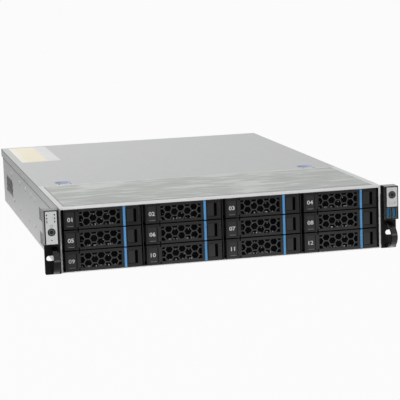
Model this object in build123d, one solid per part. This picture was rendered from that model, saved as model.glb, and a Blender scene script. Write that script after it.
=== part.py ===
from build123d import *
import math
import os

# A rack server, two units high, with twelve front drive bays in four columns
# and three rows. X runs to the right as seen from the front, Y to the back and
# Z up. The origin is the centre of the tray's underside. Millimetres.

# Whole server
body_width = 440.0            # over the cover's side flanges
body_height = 87.0
body_depth = 650.0            # front edge of the tray to the back edge of the cover
ear_width = 21.0              # one rack ear, so that both span 482.6
rack_slot_inset = 8.75        # middle of a rack slot from the ear's outer edge
cut_overrun = 2.0             # how far every cutter runs past the face it opens

# Sheet metal and its running gaps
wall_gauge = 1.0
cover_gauge = 1.0
cover_gap = 0.3               # under the cover, and beside its joints
flange_gap = 0.2              # between a cover flange and the tray wall
flange_height = 12.5
seat_gap = 0.1                # between pieces that are screwed together
ride_gap = 0.3                # between a piece and what it slides or rests on

# Tray, of flat sheets spot-welded along their edges
tray_rear_setback = 9.0       # the cover hangs over the rear wall by this much
hem_depth = 3.0
front_vent_length = 32.0
front_vent_height = 18.0
front_vent_start = 174.0      # from the front edge
front_vent_levels = (13.5, 48.0)
side_vent_length = 84.0
side_vent_height = 32.0
side_vent_setback = 83.0      # middle of the vent from the rear wall
side_vent_level = 37.0
vent_slot_width = 3.6
vent_slot_pitch = 6.6
vent_pitch = 8.4
vent_hole = 7.0               # across the flats
rail_hole_radius = 2.1
rail_hole_start = 215.0
rail_hole_spacing = 210.0
rail_hole_level = 62.0

# Covers
front_cover_depth = 196.0
front_lip_height = 1.6
rear_lip_height = 3.0
recess_radius = 11.75
recess_floor_radius = 9.6
recess_depth = 5.0
recess_offset = 180.5         # from the middle
recess_gap = 21.7             # middle of the recess from the rear cover's front edge
cup_seat_gap = 0.1            # round the finger cup in its hole

# Drive cage
column_count = 4
row_count = 3
divider_gauge = 1.0
cage_side_gauge = 0.8
cage_setback = 5.0
bay_slack = 0.9
bay_lift = 0.1
ledge_gauge = 0.8
ledge_bite = 1.6              # how far a ledge reaches under a carrier rail

# Drive and carrier
drive_length = 147.0
drive_lid_step = 0.8
drive_lid_margin = 6.0
plug_width = 33.0
plug_height = 5.0
plug_offset = 12.0            # sideways from the drive's middle
plug_play = 0.5
bay_gap = 6.0                 # between bezels side by side
row_gap = 1.4                 # between bezels above each other
bezel_proud = 1.0
bezel_depth = 18.0
bezel_chamfer = 0.5
rail_gauge = 2.55
rail_trim = 2.55              # rail's edge from the drive's, top and bottom
rail_start = 12.0
rail_side_gap = 0.4
rail_window_length = 44.0
rail_window_height = 9.0
rail_window_shares = (0.3, 0.7)       # of the drive's length
number_pad_inset = 3.0
number_pad_width = 11.0
number_pad_margin = 3.8
number_pad_proud = 0.4
vent_bar = 2.7                # frame bar above and below the air opening

# Lever
hinge_inset = 17.0            # hinge axis from the bezel's left end
hinge_depth = 2.3
knuckle_radius = 2.0
knuckle_margin = 3.2          # from the bezel's top and bottom
lug_radius = 2.3
lug_gap = 0.2
hinge_pin_radius = 1.0
hinge_pin_gap = 0.06
lever_start = 2.9             # plate's left edge from the hinge axis
lever_end_margin = 20.7       # plate's free end from the bezel's right end
lever_depth = 4.0
lever_end_gap = 0.5
grille_start_bar = 0.7        # plate left of the grille window
grille_end_bar = 7.0          # plate right of it, with the strip
grille_margin = 3.65          # from the bezel's top and bottom
grille_recess = 0.8
grille_thickness = 1.6
cell_pitch = 10.1
cell_hole = 8.8               # across the flats
cell_lift = 0.8
first_cell_shift = 1.2        # first column's middle from the window's left end
strip_width = 3.2
strip_proud = 0.4

# Release button
button_start_gap = 1.5        # from the lever's free end
button_width = 9.5
button_margin = 4.6           # from the bezel's top and bottom
button_depth = 3.4
button_proud = 0.3
button_travel = 3.0

# Backplane
connector_room = 5.0
backplane_gauge = 2.0
backplane_side_gap = 2.0
backplane_slot_width = 60.0
backplane_slot_height = 8.0

# Fan wall
fan_count = 4
fan_headroom = 4.4            # above a fan, under the tray's rim
fan_depth = 38.0
fan_pitch_trim = 2.7          # fans stand closer than the bays by this much
fan_corner = 4.0
fan_rim = 1.8                 # frame left outside the bore
fan_wall_gap = 47.8           # from the rear cover's front edge, clear of the finger cups
stator_radius = 15.0
stator_depth = 4.0
strut_width = 4.0
strut_count = 4
axle_radius = 1.5
axle_gap = 0.05
hub_radius = 16.0
hub_depth = 24.0
hub_wall = 2.0
blade_count = 7
blade_thickness = 1.4
blade_chord = 26.0
blade_angle = 42
blade_tip_gap = 0.9

# Motherboard
board_gauge = 1.6
board_left_gap = 4.0
board_right_gap = 50.5        # to the supplies' wall
board_front_gap = 21.8        # to the backs of the fans
board_rear_gap = 2.0
standoff_height = 6.5
standoff_radius = 3.0
standoff_inset = 9.0
standoff_shares = (0.04, 0.5, 0.96)   # of the board's length
cpu_shares = (0.2525, 0.7508)         # of the board's width
cpu_setback_share = 0.2312            # of the board's length
socket_side = 60.0
socket_height = 6.0
sink_width_share = 0.2557             # of the board's width
sink_length_share = 0.3243            # of the board's length
sink_base = 8.0
sink_headroom = 10.7
fin_count = 20
fin_gauge = 1.0
module_height = 31.0
module_gauge = 1.3
module_pitch_share = 0.02623          # of the board's width
modules_per_bank = 4
module_end_room = 8.65                # socket's latches past the module's ends
module_socket_width = 6.4
module_socket_length_share = 0.4264   # of the board's length
module_socket_height = 9.0
module_slot_depth = 6.0
card_slot_length_share = 0.2673       # of the board's length
card_slot_rear_share = 0.1862         # of the board's length
card_slot_width = 7.5
card_slot_height = 11.0
chip_side = 40.0
chip_edge_gap = 40.0
chip_height = 9.0

# Rear wall: expansion slots, port plate and vents
slot_pitch = 20.32
first_slot_inset = 16.0       # from the tray's left inner face
slot_window_width = 13.0
slot_window_bottom = 15.0
slot_window_headroom = 8.7
bracket_width = 18.4
bracket_lap = 7.0             # past the window, above and below
bracket_gauge = 0.9
bracket_tab = 11.0
port_plate_width = 158.75
port_plate_height = 44.45
port_plate_gauge = 0.8
port_plate_gap = 45.75        # its right edge from the supplies' wall
port_plate_level = 8.0
port_plate_lap = 3.0
rear_vent_pitch = 11.0
rear_vent_hole = 9.2
rear_vent_bottom_gap = 3.55   # above the port plate's opening
rear_vent_headroom = 5.7
port_gap = 0.3
port_proud = 0.6
jack_width = 16.0
jack_height = 13.6
jack_depth = 21.0
jack_mouth_width = 11.8
jack_mouth_height = 8.2
jack_mouth_depth = 13.0
stack_width = 14.5
stack_height = 15.6
stack_depth = 17.0
stack_mouth_width = 12.6
stack_mouth_height = 5.2
stack_mouth_depth = 11.0
stack_tongue = 1.8
video_width = 31.0
video_height = 12.4
video_depth = 12.0
video_shell_width = 17.0
video_shell_height = 8.4
video_shell_length = 5.0
jack_insets = (62.0, 84.0, 102.0)     # left edges from the port plate's left edge
stack_inset = 40.0
video_insets = (4.0, 122.0)

# Power supplies
supply_width = 73.5
supply_headroom = 2.7         # over the upper one, under the tray's rim
supply_length = 185.0
supply_side_gap = 0.8
supply_floor_gap = 0.3
supply_gap = 1.7              # shelf and running gaps between the two supplies
supply_corner = 1.0
supply_fan_rim = 3.5          # case left above and below the fan's opening
supply_fan_inset = 19.5
supply_fan_recess = 4.0
guard_bar_angles = (45, 135)
guard_ring_width = 1.2
guard_hub_share = 0.36
guard_ring_share = 0.68
inlet_inset = 60.5
inlet_width = 20.0
inlet_height = 27.5
inlet_recess = 16.0
inlet_corner_chamfer = 4.0
inlet_pin_width = 2.0
inlet_pin_height = 4.0
inlet_pin_length = 10.0
inlet_pin_spread = 7.0
inlet_pin_shares = ((-0.25, 0), (0.25, 1), (0.25, -1))    # of the inlet's width and of the spread
loop_inset = 43.8
loop_width = 3.6
loop_reach = 24.0
loop_margin = 3.0             # from the supply's top and bottom
loop_bar = 3.4
latch_inset = 39.4
latch_gauge = 1.8
latch_height = 14.0
latch_reach = 17.0
latch_knuckle_radius = 1.7
latch_pin_radius = 0.8
latch_pin_length = 2.0
latch_pin_gap = 0.05
latch_pocket_width = 5.2
latch_pocket_depth = 6.0
latch_hinge_depth = 3.0

# Rack ears, pull loops and control modules
ear_gauge = 2.5
ear_side_gap = 0.3
ear_corner = 2.0
ear_leg_gauge = 2.2
ear_leg_depth = 42.0
ear_leg_bottom = 5.0
ear_leg_headroom = 14.0       # below the body's top
rack_slot_length = 13.0
rack_slot_height = 7.0
rack_slot_level = 21.5
pull_inset = 2.5              # near face of a pull loop from the module's
pull_width = 8.0
pull_top_gap = 3.9            # to the module above it
pull_bottom = 1.6
pull_reach = 32.0
pull_bar = 3.8
module_reach = 14.0
module_back = 4.0
module_height = 45.6
module_headroom = 0.7         # below the body's top
module_edge = 0.8
groove_width = 1.4
groove_depth = 0.6
groove_setbacks = (2.6, 5.8, 9.0)
plate_side_margin = 1.5
plate_inner_margin = 2.1
plate_top_margin = 1.3
plate_drop_left = 44.4        # plate's lower edge below the module's top
plate_drop_right = 28.1
plate_gauge = 0.8
plate_corner = 0.6
key_radius = 5.0
key_gap = 0.2
key_length = 5.0
key_travel = 1.2
key_rim = 1.4
key_groove = 0.8
key_dish_radius = 2.6
key_dish_depth = 0.4
power_key_drop = 28.5         # below the module's top
locator_key_drop = 11.7
pinhole_radius = 0.8
pinhole_drop = 39.2
usb_shares = (0.2553, 0.7021)         # of the module's width
usb_drop = 36.6
usb_shell_width = 5.8
usb_shell_height = 13.2
usb_shell_gauge = 0.35
usb_depth = 14.0
usb_tongue_gauge = 1.9
usb_tongue_height = 11.0
usb_tongue_depth = 9.0
usb_gap = 0.2

# Worked out from the sizes above
front_y = -body_depth / 2
rear_cover_y = front_y + front_cover_depth + cover_gap
tray_half = body_width / 2 - cover_gauge - flange_gap
inner_half = tray_half - wall_gauge
tray_rear_y = front_y + body_depth - tray_rear_setback
rear_inner_y = tray_rear_y - wall_gauge
cover_under = body_height - cover_gauge
wall_top = cover_under - cover_gap
cage_half = inner_half - seat_gap
bay_pitch = (2 * (cage_half - cage_side_gauge) + divider_gauge) / column_count
cage_ceiling = wall_top - divider_gauge
row_pitch = (cage_ceiling - wall_gauge - bay_slack) / row_count
first_row_z = wall_gauge + row_pitch / 2 + bay_lift
bezel_width = bay_pitch - bay_gap
bezel_height = row_pitch - row_gap
bezel_left = -bezel_width / 2
bezel_y = front_y - bezel_proud
bay_half = (bay_pitch - divider_gauge) / 2
rail_outer = bay_half - rail_side_gap
rail_inner = rail_outer - rail_gauge
drive_width = 2 * (rail_inner - seat_gap)
drive_height = bezel_height - seat_gap
rail_height = drive_height - 2 * rail_trim
rail_end = bezel_depth + drive_length
hinge_x = bezel_left + hinge_inset
pocket_depth = hinge_depth + knuckle_radius + ride_gap
knuckle_height = bezel_height - 2 * knuckle_margin
lever_right = -bezel_left - lever_end_margin
grille_left = hinge_x + lever_start + grille_start_bar
grille_right = lever_right - grille_end_bar
grille_height = bezel_height - 2 * grille_margin
number_pad_height = bezel_height - 2 * number_pad_margin
button_left = lever_right + button_start_gap
button_height = bezel_height - 2 * button_margin
cage_rear_y = bezel_y + rail_end + connector_room
backplane_y = cage_rear_y + seat_gap
fan_wall_y = rear_cover_y + fan_wall_gap
fan_y = fan_wall_y + wall_gauge + seat_gap
fan_size = wall_top - wall_gauge - ride_gap - fan_headroom
fan_bore_radius = fan_size / 2 - fan_rim
fan_pitch = bay_pitch - fan_pitch_trim
fan_z = wall_gauge + ride_gap + fan_size / 2
supply_right = inner_half - supply_side_gap
supply_left = supply_right - supply_width
supply_wall_x = supply_left - supply_side_gap - wall_gauge
supply_front_y = tray_rear_y - supply_length
supply_height = (wall_top - wall_gauge - supply_floor_gap - supply_gap - supply_headroom) / 2
supply_fan_radius = supply_height / 2 - supply_fan_rim
loop_height = supply_height - 2 * loop_margin
supply_levels = [wall_gauge + supply_floor_gap + n * (supply_height + supply_gap) for n in range(2)]
shelf_top = supply_levels[1] - supply_floor_gap
board_left = -inner_half + board_left_gap
board_width = supply_wall_x - board_right_gap - board_left
board_front_y = fan_y + fan_depth + board_front_gap
board_rear_y = rear_inner_y - board_rear_gap
board_length = board_rear_y - board_front_y
board_z = wall_gauge + standoff_height + seat_gap
board_top = board_z + board_gauge
port_floor = board_top + seat_gap
port_left = supply_wall_x - port_plate_gap - port_plate_width
port_top = port_plate_level + port_plate_height
cpu_centres = [board_left + board_width * share for share in cpu_shares]
cpu_y = board_front_y + board_length * cpu_setback_share
sink_width = board_width * sink_width_share
sink_length = board_length * sink_length_share
sink_top = cover_under - sink_headroom
module_pitch = board_width * module_pitch_share
module_socket_length = board_length * module_socket_length_share
module_length = module_socket_length - module_end_room
card_slot_length = board_length * card_slot_length_share
card_slot_end_y = board_rear_y - board_length * card_slot_rear_share
slot_window_top = wall_top - slot_window_headroom
slot_room = port_left + inner_half - first_slot_inset - bracket_width / 2
slot_count = int(slot_room / slot_pitch) + 1
slot_centres = [-inner_half + first_slot_inset + n * slot_pitch for n in range(slot_count)]
module_inner = body_width / 2 + ear_side_gap + ear_leg_gauge
module_outer = body_width / 2 + ear_side_gap + ear_width
module_top = body_height - module_headroom
module_bottom = module_top - module_height
rack_slot_x = module_outer - rack_slot_inset
pull_inner = module_inner + pull_inset
pull_top = module_bottom - pull_top_gap
pull_centre_z = (pull_top + pull_bottom) / 2
key_offset = (module_inner + plate_inner_margin + module_outer - plate_side_margin) / 2
usb_offsets = [module_inner + (module_outer - module_inner) * share for share in usb_shares]
usb_level = module_top - usb_drop


# A box between two corners
def block(x_low, x_high, y_low, y_high, z_low, z_high):
    centre = Pos((x_low + x_high) / 2, (y_low + y_high) / 2, (z_low + z_high) / 2)
    return centre * Box(x_high - x_low, y_high - y_low, z_high - z_low)


# The same, with X counted outwards from the middle on one side
def side_block(side, near, far, y_low, y_high, z_low, z_high):
    ends = sorted((side * near, side * far))
    return block(ends[0], ends[1], y_low, y_high, z_low, z_high)


# Round bars along each direction
def rod_x(radius, x_low, x_high, y, z):
    return Pos((x_low + x_high) / 2, y, z) * Rot(0, 90, 0) * Cylinder(radius, x_high - x_low)


def rod_y(radius, y_low, y_high, x, z):
    return Pos(x, (y_low + y_high) / 2, z) * Rot(90, 0, 0) * Cylinder(radius, y_high - y_low)


def rod_z(radius, z_low, z_high, x, y):
    return Pos(x, y, (z_low + z_high) / 2) * Cylinder(radius, z_high - z_low)


# Hexagons of a honeycomb, as a flat pattern about its own centre
def honeycomb(columns, rows, pitch, across_flats, lift):
    step = pitch * math.sqrt(3) / 2
    corner_radius = across_flats / math.sqrt(3)
    cells = []
    for column in range(columns):
        x = (column - (columns - 1) / 2) * step
        shift = (column % 2) * pitch / 2
        for row in range(rows):
            z = (row - (rows - 1) / 2) * pitch + shift + lift
            cells.append(Pos(x, z) * RegularPolygon(corner_radius, side_count=6))
    return cells


# Whole honeycomb cells that fit in a window, centred on it
def vent_cells(length, height, pitch, across_flats):
    step = pitch * math.sqrt(3) / 2
    columns = int((length - across_flats) / step) + 1
    rows = int((height - across_flats - pitch / 2) / pitch) + 1
    return honeycomb(columns, rows, pitch, across_flats, -pitch / 4)


# Each sheet stops a hair short of the next one, so the collision keeps them apart
def chassis_tray():
    rear = rear_inner_y - seat_gap
    floor = block(-inner_half + seat_gap, inner_half - seat_gap, front_y, rear, 0, wall_gauge)
    notch = block(-tray_half, tray_half, front_y - cut_overrun, front_y + cover_gauge + cover_gap,
                  body_height - front_lip_height, body_height)
    sheets = [floor]
    for side in (-1, 1):
        wall = side_block(side, inner_half, tray_half, front_y, tray_rear_y, 0, wall_top)
        # the front cover's lip folds down into the notch
        sheets.append(wall - side_openings() - notch)
        sheets.append(side_block(side, tray_half + seat_gap, body_width / 2, front_y,
                                 front_y + hem_depth, 0, body_height - front_lip_height))
    sheets.append(rear_wall())
    sheets.append(block(supply_wall_x, supply_wall_x + wall_gauge, supply_front_y, rear,
                        wall_gauge + seat_gap, wall_top))
    sheets.append(block(supply_wall_x + wall_gauge + seat_gap, inner_half - seat_gap,
                        supply_front_y, tray_rear_y, shelf_top - wall_gauge, shelf_top))
    for x in (board_left + standoff_inset, 0, board_left + board_width - standoff_inset):
        for share in standoff_shares:
            post = extrude(RegularPolygon(standoff_radius, side_count=6), standoff_height - seat_gap)
            sheets.append(Pos(x, board_front_y + board_length * share, wall_gauge + seat_gap) * post)
    return sheets


# Windows for the slots and the ports, with vent cells above the ports
def rear_wall():
    wall = block(-inner_half + seat_gap, supply_wall_x + wall_gauge, rear_inner_y, tray_rear_y,
                 0, wall_top)
    low, high = rear_inner_y - cut_overrun, tray_rear_y + cut_overrun
    wall -= block(port_left, port_left + port_plate_width, low, high, port_plate_level, port_top)
    for x in slot_centres:
        wall -= block(x - slot_window_width / 2, x + slot_window_width / 2, low, high,
                      slot_window_bottom, slot_window_top)
    bottom, top = port_top + rear_vent_bottom_gap, wall_top - rear_vent_headroom
    cells = Sketch() + vent_cells(port_plate_width, top - bottom, rear_vent_pitch, rear_vent_hole)
    centre = (port_left + port_plate_width / 2, high, (bottom + top) / 2)
    return wall - extrude(Plane(centre, (1, 0, 0), (0, -1, 0)) * cells, high - low)


# Vent slots and rail holes go through both side walls, the vent cells through the left one
def side_openings():
    reach = body_width / 2 + cut_overrun
    cuts = []
    slots = int((front_vent_length - vent_slot_width) / vent_slot_pitch) + 1
    for level in front_vent_levels:
        for n in range(slots):
            y = front_y + front_vent_start + n * vent_slot_pitch
            cuts.append(block(-reach, reach, y, y + vent_slot_width,
                              level - front_vent_height / 2, level + front_vent_height / 2))
    cells = Sketch() + vent_cells(side_vent_length, side_vent_height, vent_pitch, vent_hole)
    centre = (-reach, tray_rear_y - side_vent_setback, side_vent_level)
    cuts.append(extrude(Plane(centre, (0, 1, 0), (1, 0, 0)) * cells, reach / 2))
    for n in range(2):
        y = front_y + rail_hole_start + n * rail_hole_spacing
        cuts.append(rod_x(rail_hole_radius, -reach, reach, y, rail_hole_level))
    return cuts


def front_cover():
    end = front_y + front_cover_depth - cover_gap
    cover = block(-body_width / 2, body_width / 2, front_y, end, cover_under, body_height)
    cover += block(-body_width / 2, body_width / 2, front_y, front_y + cover_gauge,
                   body_height - front_lip_height + cover_gap / 2, body_height)
    for side in (-1, 1):
        cover += side_block(side, body_width / 2 - cover_gauge, body_width / 2,
                            front_y + hem_depth + cover_gap, end,
                            body_height - flange_height, body_height)
    return cover


# The two finger cups are pieces of their own, let into round holes in the sheet
def rear_cover():
    end = front_y + body_depth
    cover = block(-body_width / 2, body_width / 2, rear_cover_y, end, cover_under, body_height)
    cover += block(-body_width / 2, body_width / 2, end - cover_gauge, end,
                   body_height - rear_lip_height, body_height)
    cups = []
    for side in (-1, 1):
        cover += side_block(side, body_width / 2 - cover_gauge, body_width / 2, rear_cover_y, end,
                            body_height - flange_height, body_height)
        place = Pos(side * recess_offset, rear_cover_y + recess_gap, body_height)
        hole_radius = recess_radius + cover_gauge + cup_seat_gap
        cover -= place * Cylinder(hole_radius, 2 * (cover_gauge + cut_overrun))
        cups.append(place * (recess_cone(cover_gauge) - recess_cone(0)))
    return [cover] + cups


# The cup hangs down from the cover's top face. With a wall it is the cup itself,
# and without one the hollow.
def recess_cone(wall):
    depth = recess_depth + wall
    return Pos(0, 0, -depth / 2) * Cone(recess_floor_radius + wall, recess_radius + wall, depth)


def drive_cage():
    start = front_y + cage_setback
    cage = block(-cage_half, cage_half, start, cage_rear_y, cage_ceiling, wall_top)
    for n in range(column_count - 1):
        x = (n + 1 - column_count / 2) * bay_pitch
        cage += block(x - divider_gauge / 2, x + divider_gauge / 2, start, cage_rear_y,
                      wall_gauge + ride_gap, wall_top)
    for side in (-1, 1):
        cage += side_block(side, cage_half - cage_side_gauge, cage_half, start, cage_rear_y,
                           wall_gauge + ride_gap, wall_top)
    for column in range(column_count):
        for row in range(row_count):
            x, z = bay_centre(column, row)
            top = z - rail_height / 2 - ride_gap
            for side in (-1, 1):
                ends = sorted((side * (rail_outer - ledge_bite), side * (bay_half + divider_gauge / 2)))
                if abs(x + ends[0]) > cage_half or abs(x + ends[1]) > cage_half:
                    ends = sorted((side * (rail_outer - ledge_bite), side * bay_half))
                cage += block(x + ends[0], x + ends[1], start + rail_start, cage_rear_y,
                              top - ledge_gauge, top)
    return cage


def bay_centre(column, row):
    return (column - (column_count - 1) / 2) * bay_pitch, first_row_z + row * row_pitch


# The carrier is drawn about its bay's centre, with its front face at y = 0
def carrier_frame():
    tall = bezel_height / 2
    frame = block(bezel_left, -bezel_left, 0, bezel_depth, -tall, tall)
    frame = chamfer(frame.faces().sort_by(Axis.Y)[0].edges(), bezel_chamfer)
    frame -= block(hinge_x - knuckle_radius - lug_gap, lever_right + lever_end_gap,
                   -cut_overrun, pocket_depth, -tall - cut_overrun, tall + cut_overrun)
    frame -= block(hinge_x + lever_start, lever_right - strip_width, 0, bezel_depth + cut_overrun,
                   -tall + vent_bar, tall - vent_bar)
    for side in (-1, 1):
        ends = sorted((side * (knuckle_height / 2 + lug_gap), side * tall))
        frame += rod_z(lug_radius, ends[0], ends[1], hinge_x, hinge_depth)
        frame += block(hinge_x - knuckle_radius - lug_gap, hinge_x, 0, pocket_depth, ends[0], ends[1])
        frame += block(hinge_x, hinge_x + lug_radius, hinge_depth, pocket_depth, ends[0], ends[1])
    frame -= rod_z(hinge_pin_radius + hinge_pin_gap, -tall - cut_overrun, tall + cut_overrun,
                   hinge_x, hinge_depth)
    left = button_left - ride_gap
    frame -= block(left, left + button_width + button_travel + 3 * ride_gap, -cut_overrun,
                   button_depth + ride_gap, -button_height / 2 - ride_gap, button_height / 2 + ride_gap)
    pad_left = bezel_left + number_pad_inset
    frame += block(pad_left, pad_left + number_pad_width, -number_pad_proud, bezel_chamfer,
                   -number_pad_height / 2, number_pad_height / 2)
    for side in (-1, 1):
        rail = side_block(side, rail_inner, rail_outer, rail_start, rail_end,
                          -rail_height / 2, rail_height / 2)
        for share in rail_window_shares:
            middle = bezel_depth + drive_length * share
            rail -= side_block(side, rail_inner - seat_gap, rail_outer + seat_gap,
                               middle - rail_window_length / 2, middle + rail_window_length / 2,
                               -rail_window_height / 2, rail_window_height / 2)
        frame += rail
    return frame


def drive():
    half, tall = drive_width / 2, drive_height / 2
    low, high = bezel_depth + seat_gap, bezel_depth + drive_length
    body = block(-half, half, low, high, -tall, tall)
    body -= block(-half - cut_overrun, -half + drive_lid_margin, low - cut_overrun, high + cut_overrun,
                  tall - drive_lid_step, tall + cut_overrun)
    body -= block(half - drive_lid_margin, half + cut_overrun, low - cut_overrun, high + cut_overrun,
                  tall - drive_lid_step, tall + cut_overrun)
    return body - block(plug_offset - plug_width / 2 - plug_play, plug_offset + plug_width / 2 + plug_play,
                        high - connector_room - plug_play, high + cut_overrun, -tall - cut_overrun,
                        -tall + plug_height + 2 * plug_play)


def lever():
    tall = bezel_height / 2
    plate = block(hinge_x + lever_start, lever_right, 0, lever_depth, -tall, tall)
    rims = plate.faces().sort_by(Axis.Y)[0].edges().filter_by(Axis.X)
    plate = chamfer(rims, bezel_chamfer)
    half = grille_height / 2
    window = block(grille_left, grille_right, -cut_overrun, grille_recess, -half, half)
    window += block(grille_left, grille_right, grille_recess + grille_thickness,
                    lever_depth + cut_overrun, -half, half)
    plate -= window
    step = cell_pitch * math.sqrt(3) / 2
    columns = int((grille_right - grille_left) / step) + 1
    rows = int(grille_height / cell_pitch) + 2
    cells = Sketch() + honeycomb(columns, rows, cell_pitch, cell_hole, cell_lift)
    middle = grille_left + first_cell_shift + (columns - 1) / 2 * step
    back = grille_recess + grille_thickness + cut_overrun
    holes = extrude(Plane((middle, back, 0), (1, 0, 0), (0, -1, 0)) * cells, back + cut_overrun)
    plate -= holes & block(grille_left, grille_right, 0, back, -half, half)
    plate += block(hinge_x, hinge_x + lever_start, hinge_depth - knuckle_radius, lever_depth,
                   -knuckle_height / 2, knuckle_height / 2)
    plate += rod_z(knuckle_radius, -knuckle_height / 2, knuckle_height / 2, hinge_x, hinge_depth)
    pin_half = tall - lug_gap
    plate += rod_z(hinge_pin_radius, -pin_half, pin_half, hinge_x, hinge_depth)
    plate += block(lever_right - strip_width, lever_right, -strip_proud, bezel_chamfer, -tall, tall)
    return plate


def release_button():
    pad = block(button_left, button_left + button_width, -button_proud, button_depth,
                -button_height / 2, button_height / 2)
    return chamfer(pad.faces().sort_by(Axis.Y)[0].edges(), bezel_chamfer)


def drive_backplane():
    half = cage_half - backplane_side_gap
    board = block(-half, half, backplane_y, backplane_y + backplane_gauge,
                  wall_gauge + ride_gap, cage_ceiling)
    for column in range(column_count):
        for row in range(row_count):
            x, z = bay_centre(column, row)
            slot_z = z + drive_height / 2 - backplane_slot_height
            board -= block(x - backplane_slot_width / 2, x + backplane_slot_width / 2,
                           backplane_y - cut_overrun, backplane_y + backplane_gauge + cut_overrun,
                           slot_z - backplane_slot_height / 2, slot_z + backplane_slot_height / 2)
            plug_low = z - drive_height / 2 + plug_play
            board += block(x + plug_offset - plug_width / 2, x + plug_offset + plug_width / 2,
                           backplane_y - connector_room - plug_height / 2, backplane_y,
                           plug_low, plug_low + plug_height)
    return board


def fan_centres():
    return [(n - (fan_count - 1) / 2) * fan_pitch for n in range(fan_count)]


# The bulkhead is a sheet across the tray, with a round opening for each fan
def fan_frames():
    wall = block(-cage_half, cage_half, fan_wall_y, fan_wall_y + wall_gauge,
                 wall_gauge + ride_gap, wall_top)
    pieces = []
    for x in fan_centres():
        wall -= rod_y(fan_bore_radius, fan_wall_y - cut_overrun, fan_wall_y + wall_gauge + cut_overrun,
                      x, fan_z)
        pieces.append(fan_frame(x))
    return [wall] + pieces


def fan_frame(x):
    half = fan_size / 2
    end = fan_y + fan_depth
    frame = block(x - half, x + half, fan_y, end, fan_z - half, fan_z + half)
    frame = chamfer(frame.edges().filter_by(Axis.Y), fan_corner)
    frame -= rod_y(fan_bore_radius, fan_y - cut_overrun, end + cut_overrun, x, fan_z)
    for n in range(strut_count):
        strut = block(0, fan_bore_radius + strut_width / 2, end - stator_depth, end,
                      -strut_width / 2, strut_width / 2)
        frame += Pos(x, 0, fan_z) * Rot(0, 45 + 360 / strut_count * n, 0) * strut
    frame += rod_y(stator_radius, end - stator_depth, end, x, fan_z)
    frame += rod_y(axle_radius, end - stator_depth - hub_depth, end, x, fan_z)
    return frame


def fan_rotor(x):
    end = fan_y + fan_depth - stator_depth - ride_gap
    start = end - hub_depth
    hub = rod_y(hub_radius, start, end, 0, 0)
    hub -= rod_y(hub_radius - hub_wall, start + 2 * hub_wall, end + cut_overrun, 0, 0)
    hub += rod_y(2 * axle_radius, start, end, 0, 0)
    blade = fan_blade((start + end) / 2)
    for n in range(blade_count):
        hub += Rot(0, 360 / blade_count * n, 0) * blade
    hub -= rod_y(axle_radius + axle_gap, start - cut_overrun, end + cut_overrun, 0, 0)
    return Pos(x, 0, fan_z) * hub


# One pitched blade along +X, from inside the hub's wall out to the tip circle
def fan_blade(y):
    inset = hub_radius - hub_wall / 2
    root = Plane((inset, y, 0), (0, 1, 0), (1, 0, 0))
    outline = root * Rot(0, 0, blade_angle) * Rectangle(blade_chord, blade_thickness)
    sideways = blade_chord / 2 * math.sin(math.radians(blade_angle)) + blade_thickness
    tip_radius = fan_bore_radius - blade_tip_gap
    return extrude(outline, math.sqrt(tip_radius ** 2 - sideways ** 2) - inset)


def motherboard():
    right = board_left + board_width
    board = block(board_left, right, board_front_y, board_rear_y, board_z, board_top)
    for centre in cpu_centres:
        half = socket_side / 2
        board += block(centre - half, centre + half, cpu_y - half, cpu_y + half,
                       board_top, board_top + socket_height)
    for x in module_places():
        socket = block(x - module_socket_width / 2, x + module_socket_width / 2,
                       cpu_y - module_socket_length / 2, cpu_y + module_socket_length / 2,
                       board_top, board_top + module_socket_height)
        groove = module_gauge / 2 + seat_gap
        board += socket - block(x - groove, x + groove, cpu_y - module_length / 2 - seat_gap,
                                cpu_y + module_length / 2 + seat_gap,
                                board_top + module_socket_height - module_slot_depth,
                                board_top + module_socket_height + cut_overrun)
    for x in slot_centres[:-1]:
        board += block(x - card_slot_width / 2, x + card_slot_width / 2,
                       card_slot_end_y - card_slot_length, card_slot_end_y,
                       board_top, board_top + card_slot_height)
    chip_x = right - chip_edge_gap - chip_side
    chip_y = card_slot_end_y - chip_side * 3 / 2
    board += block(chip_x, chip_x + chip_side, chip_y, chip_y + chip_side,
                   board_top, board_top + chip_height)
    ports = [network_jack(port_left + inset) for inset in jack_insets]
    ports += [video_port(port_left + inset) for inset in video_insets]
    return [board, usb_stack(port_left + stack_inset), port_plate()] + ports


# Ports stand on the board and reach through the port plate
def network_jack(x):
    end = tray_rear_y + port_proud
    jack = block(x, x + jack_width, end - jack_depth, end, port_floor, port_floor + jack_height)
    margin = (jack_width - jack_mouth_width) / 2
    floor = port_floor + (jack_height - jack_mouth_height) / 2
    return jack - block(x + margin, x + jack_width - margin, end - jack_mouth_depth, end + cut_overrun,
                        floor, floor + jack_mouth_height)


def usb_stack(x):
    end = tray_rear_y + port_proud
    stack = block(x, x + stack_width, end - stack_depth, end, port_floor, port_floor + stack_height)
    margin = (stack_width - stack_mouth_width) / 2
    for n in range(2):
        middle = port_floor + stack_height * (2 * n + 1) / 4
        stack -= block(x + margin, x + stack_width - margin, end - stack_mouth_depth, end + cut_overrun,
                       middle - stack_mouth_height / 2, middle + stack_mouth_height / 2)
        stack += block(x + 2 * margin, x + stack_width - 2 * margin, end - stack_mouth_depth,
                       end - stack_tongue, middle, middle + stack_tongue)
    return stack


def video_port(x):
    end = tray_rear_y - wall_gauge - port_plate_gauge - seat_gap - ride_gap
    port = block(x, x + video_width, end - video_depth, end, port_floor, port_floor + video_height)
    middle, level = x + video_width / 2, port_floor + video_height / 2
    rim = wall_gauge / 2
    shell = Rectangle(video_shell_width, video_shell_height)
    shell = fillet(shell.vertices(), video_shell_height / 4)
    bore = offset(shell, -rim)
    face = Plane((middle, end, level), (-1, 0, 0), (0, 1, 0))
    port += extrude(face * shell, video_shell_length)
    return port - extrude(face * bore, video_shell_length + cut_overrun)


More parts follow.
